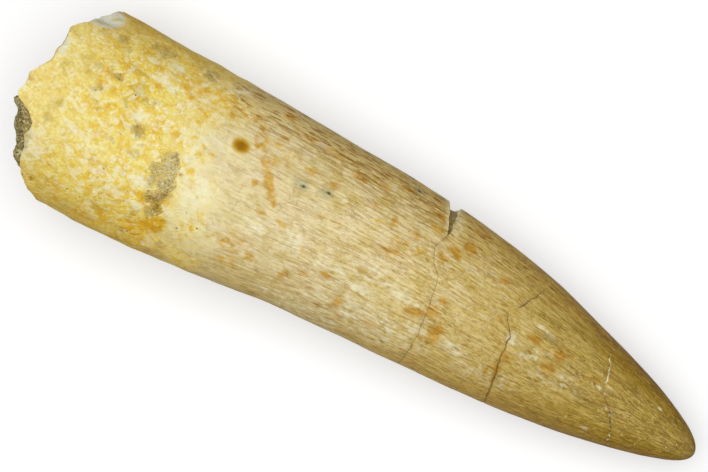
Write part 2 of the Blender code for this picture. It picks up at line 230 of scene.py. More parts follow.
@dataclass(frozen=True)
class ToothForm:
    """The tooth's plain form, the same as the model's.

    A section is its x, its edges on the +Y and -Y side, and its underside. A hollow is its angle, x, radius
    and depth.
    """

    half_length: float
    height_to_width: float = 0.92
    rest_sink: float = 0.12
    lump_size: float = 3.2
    root_lump: float = 0.13
    crown_lump: float = 0.04
    dimple_size: float = 0.9
    root_dimple: float = 0.045
    crown_dimple: float = 0.012
    sections: tuple[tuple[float, float, float, float], ...] = (
        (-25.6, 6.80, -6.78, 0.20), (-22.0, 6.88, -6.84, 0.03), (-18.5, 6.87, -6.87, 0.00),
        (-14.0, 6.75, -6.68, 0.00), (-9.0, 6.60, -6.25, 0.00), (-4.0, 6.37, -5.66, 0.00),
        (0.5, 6.18, -5.42, 0.00), (4.5, 5.86, -5.24, 0.00), (8.5, 5.32, -5.04, 0.01),
        (12.5, 4.48, -4.75, 0.22), (15.8, 3.50, -4.35, 0.66), (18.5, 2.66, -3.90, 1.13),
        (21.2, 1.70, -3.33, 1.72), (23.2, 0.82, -2.78, 2.25), (24.9, -0.16, -2.12, 2.86),
        (25.6, -1.22, -1.22, 3.74),
    )
    rim: ClosedLine = around(
        (-165, -23.8), (-150, -23.2), (-130, -22.4), (-110, -21.5), (-90, -20.9), (-78.6, -21.2),
        (-71.4, -21.75), (-67.7, -22.05), (-62, -22.5), (-58.5, -22.75), (-47, -23.27), (-37.5, -23.35),
        (-30.5, -23.7), (-26.4, -23.55), (-21.2, -23.62), (-16, -24.13), (-11.4, -25.2), (-9, -25.4),
        (3, -25.3), (8, -25.0), (16, -24.5), (40, -24.3), (46, -23.9), (52, -23.4), (64, -23.0),
        (74, -22.5), (90, -21.7), (110, -22.0), (130, -22.9), (150, -24.0), (172, -24.1),
        jitter=0.12, seed=3.0,
    )
    enamel_line: ClosedLine = around(
        (-150, -10.5), (-120, -9.8), (-90, -9.7), (-56, -10.0), (-34, -10.5), (-12, -11.3),
        (8, -12.1), (35, -12.1), (72, -11.8), (110, -12.0), (140, -12.2), (175, -11.5),
    )
    hollows: tuple[tuple[float, float, float, float], ...] = (
        (58.0, -18.1, 1.1, 0.22), (4.0, -17.2, 0.8, 0.20), (-55.0, -12.9, 1.3, 0.28),
        (64.0, -22.6, 1.2, 0.38), (150.0, -16.5, 1.5, 0.30), (-140.0, -19.0, 1.2, 0.25),
        (50.0, -20.8, 0.45, 0.08), (14.0, -20.9, 0.40, 0.12), (25.0, -19.9, 0.35, 0.08),
        (-57.0, -22.0, 0.28, 0.14), (0.7, -24.9, 0.25, 0.10), (-9.0, -16.7, 0.40, 0.06),
        (-55.0, -16.9, 0.40, 0.12), (-19.0, -13.4, 0.24, 0.22), (-24.5, -13.75, 0.24, 0.22),
        (-29.0, -14.1, 0.24, 0.20), (-42.0, -12.75, 0.40, 0.10), (-14.0, -14.2, 1.10, 0.14),
    )

    def sides(self, x: np.ndarray) -> tuple[np.ndarray, ...]:
        """Centre y and z, half width and half height of the tooth at x.

        The outline is smooth in the root of the distance from the tip, which rounds the tip off.
        """
        knots = np.sqrt([max(0.0, self.half_length - row[0]) for row in reversed(self.sections)])
        values = np.array([row[1:] for row in reversed(self.sections)])
        at = np.sqrt(np.clip(self.half_length - x, 0.0, None))
        i = np.clip(np.searchsorted(knots, at) - 1, 0, len(knots) - 2)
        step = knots[i + 1] - knots[i]
        t = (at - knots[i]) / step
        found = []
        for column in values.T:
            slopes = np.gradient(column, knots)
            rise = column[i + 1] - column[i]
            bend = step * t * (1 - t) * ((1 - t) * slopes[i] - t * slopes[i + 1])
            found.append(column[i] + t * t * (3 - 2 * t) * rise + bend)
        upper, lower, under = found
        half_width = (upper - lower) / 2
        half_height = half_width * self.height_to_width
        return (upper + lower) / 2, under + half_height - self.rest_sink, half_width, half_height

    def points(self, x: np.ndarray, angles: np.ndarray, raised: np.ndarray | float) -> np.ndarray:
        """Points of the skin.

        Args:
            x: places along the tooth.
            angles: angles round it, in degrees.
            raised: heights over the plain section.

        Returns:
            Array of points in millimetres, with x, y and z on its last axis.
        """
        y, z, half_width, half_height = self.sides(x)
        turn = np.radians(angles)
        across = (half_width + raised) * np.sin(turn)
        up = (half_height + raised) * np.cos(turn)
        return np.stack([x, y + across, z + up], axis=-1)

    def wrapped(self, x: np.ndarray, angles: np.ndarray) -> np.ndarray:
        """Points for noise on the skin: the section as a circle about the middle."""
        turn = np.radians(angles)
        half_width = self.sides(x)[2]
        return np.stack([x, half_width * np.sin(turn), half_width * np.cos(turn)], axis=-1)

    def hollow_depths(self, x: np.ndarray, angles: np.ndarray) -> np.ndarray:
        """Depth of the root's hollows."""
        half_width = self.sides(x)[2]
        depth = np.zeros_like(x)
        for middle_angle, middle_x, radius, deepest in self.hollows:
            turn = np.radians((angles - middle_angle + 180) % 360 - 180)
            away = np.hypot(x - middle_x, turn * half_width) / radius
            depth += deepest * np.exp(-away * away)
        return depth

    def relief(self, x: np.ndarray, angles: np.ndarray, enamel: np.ndarray | float) -> np.ndarray:
        """Heights of the broad lumps and hollows, which are lower where enamel is 1 than where it is 0."""
        wrapped = self.wrapped(x, angles)
        lump = self.root_lump + (self.crown_lump - self.root_lump) * enamel
        dimple = self.root_dimple + (self.crown_dimple - self.root_dimple) * enamel
        bumps = lump * noise_at(wrapped, self.lump_size) + dimple * noise_at(wrapped, self.dimple_size, 13.0)
        return bumps - self.hollow_depths(x, angles)


@dataclass(frozen=True)
class PulpCavity:
    """The oval pulp cavity in the broken end, and how the end face slopes to it."""

    y: float = -2.55
    z: float = 8.0
    half_width: float = 2.95
    half_height: float = 3.55
    edge_x: float = -21.1
    floor_x: float = -20.3
    fit_gap: float = 0.1
    face_depth_x: float = -22.5

    def wall(self, x: np.ndarray | float, angles: np.ndarray, shrink: float) -> np.ndarray:
        """Points on the cavity's wall, or inside it by shrink."""
        turn = np.radians(angles)
        return np.stack(
            [
                np.broadcast_to(x, turn.shape),
                self.y + (self.half_width - shrink) * np.sin(turn),
                self.z + (self.half_height - shrink) * np.cos(turn),
            ],
            axis=-1,
        )

    @property
    def middle(self) -> np.ndarray:
        """The middle of the cavity's floor."""
        return np.array([self.floor_x, self.y, self.z])

    def mouth_x(self, rim: ClosedLine, angles: np.ndarray) -> np.ndarray:
        """Where the cavity's wall meets the broken end face."""
        return (self.face_depth_x + rim.at(angles)) / 2


def new_object(name: str, data: bpy.types.ID) -> bpy.types.Object:
    """A new object in the scene."""
    made = bpy.data.objects.new(name, data)
    bpy.context.scene.collection.objects.link(made)
    return made


def closed_mesh(name: str, start: np.ndarray, rings: np.ndarray, end: np.ndarray) -> bpy.types.Object:
    """Closed mesh through rings of points, with a point at either end, in an object of its own.

    Args:
        name: the object's name.
        start: the point that closes the first ring, in millimetres.
        rings: array of shape (rings, columns, 3), in millimetres.
        end: the point that closes the last ring.

    Returns:
        The object, in metres, whose vertices are the rings' points in order, then start, then end.
    """
    count, columns = rings.shape[:2]
    points = np.vstack([rings.reshape(-1, 3), start[None], end[None]]) * MM
    row = np.arange(count - 1)[:, None] * columns
    near, following = np.arange(columns)[None], (np.arange(columns)[None] + 1) % columns
    quads = np.stack([row + near, row + columns + near, row + columns + following, row + following], -1)
    first, last = count * columns, count * columns + 1
    top = (count - 1) * columns
    faces = quads.reshape(-1, 4).tolist()
    faces += [(j, (j + 1) % columns, first) for j in range(columns)]
    faces += [(top + (j + 1) % columns, top + j, last) for j in range(columns)]
    mesh = bpy.data.meshes.new(name)
    mesh.from_pydata(points.tolist(), [], faces)
    mesh.update()
    return new_object(name, mesh)


def carry(mesh: bpy.types.Mesh, layer: Layer, values: np.ndarray) -> None:
    """Stores a number or a vector on each vertex of a mesh."""
    if values.ndim == 2:
        stored = mesh.attributes.new(layer.value, "FLOAT_VECTOR", "POINT")
        stored.data.foreach_set("vector", values.astype(np.float32).ravel())
    else:
        stored = mesh.attributes.new(layer.value, "FLOAT", "POINT")
        stored.data.foreach_set("value", values.astype(np.float32))


class Graph:
    """Adds nodes to one node tree, each joined to what it reads."""

    def __init__(self, tree: bpy.types.NodeTree) -> None:
        """Works on the given tree."""
        self.tree = tree

    def feed(self, socket: Socket, value: object) -> None:
        """Joins an input to an output, or sets its own value."""
        if isinstance(value, bpy.types.NodeSocket):
            self.tree.links.new(value, socket)
        else:
            socket.default_value = value

    def node(self, kind: str, inputs: dict, **settings: object) -> bpy.types.Node:
        """Adds a node.

        Args:
            kind: the node's type, without the words ShaderNode.
            inputs: values or outputs by the name or number of the input that they feed.
            settings: the node's own properties.

        Returns:
            The node.
        """
        made = self.tree.nodes.new(f"ShaderNode{kind}")
        for name, value in settings.items():
            setattr(made, name, value)
        for key, value in inputs.items():
            self.feed(made.inputs[key], value)
        return made

    def vector(self, layer: Layer) -> Socket:
        """A vector carried by the mesh."""
        return self.node("Attribute", {}, attribute_name=layer.value).outputs["Vector"]

    def amount(self, layer: Layer) -> Socket:
        """A number carried by the mesh."""
        return self.node("Attribute", {}, attribute_name=layer.value).outputs["Fac"]

    def math(self, operation: str, first: object, second: object = 0.0) -> Socket:
        """Result of a sum on one or two numbers."""
        return self.node("Math", {0: first, 1: second}, operation=operation).outputs[0]

    def times(self, first: object, second: object) -> Socket:
        """Product of two numbers."""
        return self.math("MULTIPLY", first, second)

    def plus(self, first: object, second: object) -> Socket:
        """Sum of two numbers."""
        return self.math("ADD", first, second)

    def fade(
        self, value: object, low: object, high: object, start: float = 0.0, end: float = 1.0
    ) -> Socket:
        """Smooth change from start to end as a value goes from low to high."""
        inputs = {"Value": value, "From Min": low, "From Max": high, "To Min": start, "To Max": end}
        return self.node("MapRange", inputs, interpolation_type="SMOOTHSTEP").outputs[0]

    def lay(
        self, below: object, above: object, mask: object, strength: float = 1.0, blend: str = "MIX"
    ) -> Socket:
        """Colour above laid over colour below.

        Args:
            below: colour that is covered.
            above: colour that covers it.
            mask: where it covers, from 0 to 1.
            strength: how well it covers.
            blend: how the two are mixed.

        Returns:
            The mixed colour.
        """
        factor = mask if strength == 1.0 else self.times(mask, strength)
        inputs = {0: factor, 6: below, 7: above}
        return self.node("Mix", inputs, data_type="RGBA", blend_type=blend).outputs[2]

    def moved(
        self, place: object, by: Triple, turn: float = 0.0, stretch: Triple = (1.0, 1.0, 1.0)
    ) -> Socket:
        """A place stretched, turned about the up axis in degrees and moved, for another part of a pattern."""
        turned = (0.0, 0.0, math.radians(turn))
        inputs = {"Vector": place, "Location": by, "Rotation": turned, "Scale": stretch}
        return self.node("Mapping", inputs).outputs[0]

    def ramp(self, factor: object, stops: Stops) -> Socket:
        """Colour from a row of stops."""
        made = self.node("ValToRGB", {"Fac": factor})
        points = made.color_ramp.elements
        while len(points) < len(stops):
            points.new(1.0)
        for point, (position, colour) in zip(points, stops):
            point.position = position
            point.color = colour
        return made.outputs["Color"]

    def group(self, tree: bpy.types.NodeTree, inputs: dict) -> bpy.types.Node:
        """Places a node group."""
        made = self.tree.nodes.new("ShaderNodeGroup")
        made.node_tree = tree
        for key, value in inputs.items():
            self.feed(made.inputs[key], value)
        return made


class Effects:
    """Shader node groups that more than one material uses, each built once."""

    def __init__(self) -> None:
        """Builds every group."""
        self.streaks = self._streaks()
        self.patches = self._patches()
        self.grit = self._grit()
        self.specks = self._specks()
        self.crazing = self._crazing()

    @staticmethod
    def _start(
        name: str, numbers: tuple[str, ...], outputs: tuple[str, ...]
    ) -> tuple[Graph, dict, dict]:
        """Starts a group that reads a place and some numbers, and puts out numbers.

        Args:
            name: the group's name.
            numbers: names of its inputs after the place.
            outputs: names of its outputs.

        Returns:
            The graph, the sockets to read by name, and the sockets to feed by name.
        """
        tree = bpy.data.node_groups.new(name, "ShaderNodeTree")
        tree.interface.new_socket(name="Place", in_out="INPUT", socket_type="NodeSocketVector")
        for label in numbers:
            tree.interface.new_socket(name=label, in_out="INPUT", socket_type="NodeSocketFloat")
        for label in outputs:
            tree.interface.new_socket(name=label, in_out="OUTPUT", socket_type="NodeSocketFloat")
        entry = tree.nodes.new("NodeGroupInput")
        leave = tree.nodes.new("NodeGroupOutput")
        return Graph(tree), dict(entry.outputs.items()), dict(leave.inputs.items())

    def _streaks(self) -> bpy.types.NodeTree:
        """Streaks drawn out along the first axis."""
        numbers = ("Along", "Across", "Low", "High")
        graph, given, wanted = self._start("streaks", numbers, ("Value", "Mask"))
        scale = {0: given["Along"], 1: given["Across"], 2: given["Across"]}
        stretch = graph.node("CombineXYZ", scale).outputs[0]
        place = graph.node("VectorMath", {0: given["Place"], 1: stretch}, operation="MULTIPLY").outputs[0]
        value = graph.node("TexNoise", {"Vector": place, "Scale": 1.0, "Detail": 2.5}).outputs["Fac"]
        graph.feed(wanted["Value"], value)
        graph.feed(wanted["Mask"], graph.fade(value, given["Low"], given["High"]))
        return graph.tree

    def _patches(self) -> bpy.types.NodeTree:
        """Soft torn patches."""
        numbers = ("Scale", "Wisp", "Low", "High")
        graph, given, wanted = self._start("patches", numbers, ("Value", "Mask"))
        inputs = {"Vector": given["Place"], "Scale": given["Scale"], "Distortion": given["Wisp"]}
        value = graph.node("TexNoise", {**inputs, "Detail": 4.0}).outputs["Fac"]
        graph.feed(wanted["Value"], value)
        graph.feed(wanted["Mask"], graph.fade(value, given["Low"], given["High"]))
        return graph.tree

    def _grit(self) -> bpy.types.NodeTree:
        """Packed grains: their height, the gaps between them, and a tone for each grain."""
        graph, given, wanted = self._start("grit", ("Scale",), ("Height", "Gap", "Tone"))
        cells = graph.node("TexVoronoi", {"Vector": given["Place"], "Scale": given["Scale"]})
        tone = graph.node("SeparateColor", {0: cells.outputs["Color"]}).outputs[0]
        graph.feed(wanted["Height"], graph.fade(cells.outputs["Distance"], 0.0, 0.7, 1.0, 0.0))
        graph.feed(wanted["Gap"], graph.fade(cells.outputs["Distance"], 0.42, 0.72))
        graph.feed(wanted["Tone"], tone)
        return graph.tree

    def _specks(self) -> bpy.types.NodeTree:
        """Sparse small round specks."""
        graph, given, wanted = self._start("specks", ("Scale", "Share", "Size"), ("Mask",))
        cells = graph.node("TexVoronoi", {"Vector": given["Place"], "Scale": given["Scale"]})
        drawn = graph.node("SeparateColor", {0: cells.outputs["Color"]}).outputs[1]
        chosen = graph.math("LESS_THAN", drawn, given["Share"])
        inner = graph.times(given["Size"], 0.5)
        dot = graph.fade(cells.outputs["Distance"], inner, given["Size"], 1.0, 0.0)
        graph.feed(wanted["Mask"], graph.times(chosen, dot))
        return graph.tree

    def _crazing(self) -> bpy.types.NodeTree:
        """A broken net of hair cracks."""
        graph, given, wanted = self._start("crazing", ("Scale", "Width", "Cover"), ("Line",))
        inputs = {"Vector": given["Place"], "Scale": 2.2, "Detail": 3.0}
        wobble = graph.node("TexNoise", inputs).outputs["Color"]
        shake = {0: wobble, 1: (0.9, 0.9, 0.9), 2: given["Place"]}
        bent = graph.node("VectorMath", shake, operation="MULTIPLY_ADD").outputs[0]
        inputs = {"Vector": bent, "Scale": given["Scale"]}
        edge = graph.node("TexVoronoi", inputs, feature="DISTANCE_TO_EDGE").outputs["Distance"]
        line = graph.fade(edge, 0.0, given["Width"], 1.0, 0.0)
        gaps = graph.node("TexNoise", {"Vector": given["Place"], "Scale": 0.7}).outputs["Fac"]
        floor = graph.math("SUBTRACT", 1.0, given["Cover"])
        shown = graph.fade(gaps, floor, graph.plus(floor, 0.12))
        graph.feed(wanted["Line"], graph.times(line, shown))
        return graph.tree


class Pattern(Enum):
    """Patterns of a coat of colour, by the painter's method that draws each."""

    STREAK = "streak"
    PATCH = "patch"
    THREAD = "thread"
    SPECK = "speck"


class Within(Enum):
    """Parts of the crown that a coat may keep to."""

    VALLEYS = "valleys"
    UPPER_FLANK = "upper_flank"
    BOTH_FLANKS = "both_flanks"


@dataclass(frozen=True)
class Coat:
    """A broken coat of colour: its tint, how well it covers, its pattern with its sizes, and where it is.

    Its pattern follows the coordinates of a layer, stretched, turned and moved by shift. Along the tooth it
    comes in from one x to another, and from one strength to another where shown has four numbers.
    """

    tint: Colour
    cover: float
    pattern: Pattern
    sizes: tuple[float, ...]
    shift: Triple = (0, 0, 0)
    shown: tuple[float, ...] = ()
    place: Layer = Layer.GRAIN
    within: Within | None = None
    turn: float = 0.0
    stretch: Triple = (1, 1, 1)


class Painter(Graph):
    """A material's graph, which can place the shared effects by name."""

    def __init__(self, tree: bpy.types.NodeTree, effects: Effects) -> None:
        """Works on the given tree with the given effects."""
        super().__init__(tree)
        self.effects = effects

    def axis(self, place: Socket, number: int) -> Socket:
        """One coordinate of a place, counted from 0."""
        return self.node("SeparateXYZ", {0: place}).outputs[number]

    def streaks(self, place: Socket, along: float, across: float, low: float, high: float) -> bpy.types.Node:
        """Streaks: so many to the millimetre along and across, and where their mask begins and is full."""
        given = {"Place": place, "Along": along, "Across": across, "Low": low, "High": high}
        return self.group(self.effects.streaks, given)

    def streak(self, place: Socket, along: float, across: float, low: float, high: float) -> Socket:
        """Mask of streaks."""
        return self.streaks(place, along, across, low, high).outputs["Mask"]

    def drawn(self, place: Socket, along: float, across: float) -> Socket:
        """Noise about 0 that is drawn out into streaks."""
        value = self.streaks(place, along, across, 0.0, 1.0).outputs["Value"]
        return self.math("SUBTRACT", value, 0.5)

    def thread(self, place: Socket, along: float, across: float, width: float) -> Socket:
        """Mask of long thin wavy lines, where drawn-out noise passes its middle value."""
        return self.fade(self.math("ABSOLUTE", self.drawn(place, along, across)), 0.0, width, 1.0, 0.0)

    def patches(self, place: Socket, scale: float, low: float, high: float, wisp: float) -> bpy.types.Node:
        """Patches: so many to the millimetre, where their mask begins and is full, and how wispy they are."""
        given = {"Place": place, "Scale": scale, "Wisp": wisp, "Low": low, "High": high}
        return self.group(self.effects.patches, given)

    def patch(self, place: Socket, scale: float, low: float, high: float, wisp: float = 0.6) -> Socket:
        """Mask of torn patches."""
        return self.patches(place, scale, low, high, wisp).outputs["Mask"]

    def soft(self, place: Socket, scale: float) -> Socket:
        """Soft noise about a half, mostly from 0.25 to 0.75."""
        return self.patches(place, scale, 0.0, 1.0, 0.3).outputs["Value"]

    def cloud(self, place: Socket, scale: float) -> Socket:
        """Soft noise about 0, mostly from -0.25 to 0.25."""
        return self.math("SUBTRACT", self.soft(place, scale), 0.5)

    def grains(self, place: Socket, scale: float) -> object:
        """Packed grains, so many to the millimetre: Height, the Gap between them and a Tone for each."""
        return self.group(self.effects.grit, {"Place": place, "Scale": scale}).outputs

    def shaken(self, place: Socket, by: float = 0.5) -> Socket:
        """A place pushed about by noise, for torn outlines."""
        push = self.node("TexNoise", {"Vector": place, "Scale": 2.4, "Detail": 2.0}).outputs["Color"]
        inputs = {0: push, 1: (by, by, by), 2: place}
        return self.node("VectorMath", inputs, operation="MULTIPLY_ADD").outputs[0]

    def speck(self, place: Socket, scale: float, share: float, size: float) -> Socket:
        """Mask of specks: cells to the millimetre, the share of them that hold one, and its size."""
        given = {"Place": place, "Scale": scale, "Share": share, "Size": size}
        return self.group(self.effects.specks, given).outputs["Mask"]

    def coat(
        self, below: Socket, coats: tuple[Coat, ...], along: Socket, parts: dict | None = None
    ) -> Socket:
        """Lays coats over a colour, one after another.

        Args:
            below: the colour under them.
            coats: the coats.
            along: place along the tooth.
            parts: masks of the parts that a coat may keep to.

        Returns:
            The colour with the coats on it.
        """
        for coat in coats:
            place = self.moved(self.vector(coat.place), coat.shift, coat.turn, coat.stretch)
            mask = getattr(self, coat.pattern.value)(place, *coat.sizes)
            if coat.within:
                mask = self.times(mask, parts[coat.within])
            if coat.shown:
                mask = self.times(mask, self.fade(along, *coat.shown))
            below = self.lay(below, coat.tint, mask, coat.cover)
        return below


@dataclass(frozen=True)
class Surface:
    """What every finish has: a name, a roughness and a gloss."""

    name: str
    roughness: float
    specular: float = 0.5

    def start(self, effects: Effects) -> tuple[bpy.types.Material, Painter, bpy.types.Node]:
        """A new material, its graph and its shader."""
        material = bpy.data.materials.new(self.name)
        material.use_nodes = True
        shader = material.node_tree.nodes["Principled BSDF"]
        shader.inputs["Specular IOR Level"].default_value = self.specular
        shader.inputs["Roughness"].default_value = self.roughness
        return material, Painter(material.node_tree, effects), shader

    @staticmethod
    def bump(graph: Graph, shader: bpy.types.Node, height: Socket, depth: float) -> None:
        """Joins a height from 0 to 1 to the shader's normal, with its depth in millimetres."""
        made = graph.node("Bump", {"Height": height, "Distance": depth * MM, "Strength": 1.0})
        graph.feed(shader.inputs["Normal"], made.outputs["Normal"])


@dataclass(frozen=True)
class RootPaint:
    """Weathered root: soft mosaic of cream, yellow and gold, with pale laths and dirt, and painted shade with
    a golden tint on its flanks.
    """

    tones: Stops = (
        (0.36, srgb(224, 184, 66)), (0.46, srgb(234, 204, 86)), (0.54, srgb(237, 215, 106)),
        (0.66, srgb(240, 224, 142)),
    )
    gold: Colour = srgb(216, 168, 34)
    lemon: Colour = srgb(240, 226, 138)
    cream: Colour = srgb(242, 232, 200)
    lath: Colour = srgb(238, 228, 184)
    rim: Colour = srgb(236, 224, 164)
    collar: Colour = srgb(236, 226, 182)
    # Tint of the painted shade on the flanks, which also warms them.
    flank: Colour = (0.96, 0.83, 0.48, 1.0)
    orange_blots: Coat = Coat(
        srgb(212, 154, 58), 0.34, Pattern.PATCH, (1.4, 0.57, 0.72, 0.3), (5, 2, 7), place=Layer.PLACE
    )
    olive_dirt: Coat = Coat(
        srgb(160, 138, 62), 0.42, Pattern.PATCH, (0.9, 0.56, 0.72), (9, 1, 3), place=Layer.PLACE
    )
    ochre_dirt: Coat = Coat(
        srgb(188, 152, 60), 0.30, Pattern.PATCH, (4.5, 0.45, 0.72, 0.2), (2, 6, 5), place=Layer.PLACE
    )
    specks: Coat = Coat(srgb(92, 72, 24), 0.80, Pattern.SPECK, (1.7, 0.10, 0.17), place=Layer.PLACE)

    def colour(self, graph: Painter, place: Socket) -> Socket:
        """Builds the colour.

        Args:
            graph: the material's graph.
            place: where each point is, in millimetres.

        Returns:
            The colour.
        """
        along = graph.axis(place, 0)
        colour = graph.ramp(graph.soft(place, 1.2), self.tones)
        wisps = graph.streak(graph.shaken(graph.moved(place, (1.0, 4.0, 2.0), -28.0)), 0.9, 2.6, 0.49, 0.66)
        zones = graph.patch(graph.moved(place, (7.0, 3.0, 2.0)), 0.34, 0.42, 0.60, 0.5)
        colour = graph.lay(colour, self.gold, graph.times(wisps, graph.fade(zones, 0.0, 1.0, 1.0, 0.3)), 0.56)
        colour = graph.coat(colour, (self.orange_blots,), along)
        colour = graph.lay(colour, self.lemon, zones, 0.35)
        colour = graph.lay(colour, self.rim, graph.fade(along, -19.5, -24.0), 0.45)
        loose = graph.fade(along, -23.0, -16.5, 0.6, 1.0)
        for scale, shift, cream, seam in ((1.8, (3, 8, 1), 0.70, 0.22), (4.4, (6, 1, 4), 0.46, 0.26)):
            cells = graph.grains(graph.shaken(graph.moved(place, shift)), scale)
            chosen, body = graph.fade(cells["Tone"], 0.45, 0.8), graph.fade(cells["Height"], 0.1, 0.5)
            colour = graph.lay(colour, self.cream, graph.times(graph.times(chosen, body), loose), cream)
            colour = graph.lay(colour, self.gold, cells["Gap"], seam)
        colour = graph.lay(colour, self.lath, self._laths(graph, place), 0.72)
        colour = graph.coat(colour, (self.olive_dirt, self.ochre_dirt), along)
        collar = graph.fade(graph.amount(Layer.PAST_LINE), -4.5, -0.8)
        collar = graph.times(collar, graph.patch(place, 1.1, 0.36, 0.52))
        colour = graph.lay(colour, self.collar, collar, 0.66)
        # Painted shade with a golden tint: darker and warmer towards both flanks.
        flank = graph.fade(graph.amount(Layer.FLANK), 0.05, 0.8)
        return graph.coat(graph.lay(colour, self.flank, flank, 1.0, "MULTIPLY"), (self.specks,), along)

    @staticmethod
    def _laths(graph: Painter, place: Socket) -> Socket:
        """Short pale laths that lie across each other at three angles."""
        found = None
        for turn, shift in ((25.0, 2.0), (-40.0, 5.0), (-72.0, 8.0)):
            lath = graph.streak(graph.moved(place, (shift, shift, 0.0), turn), 0.6, 2.0, 0.62, 0.68)
            found = lath if found is None else graph.math("MAXIMUM", found, lath)
        return found


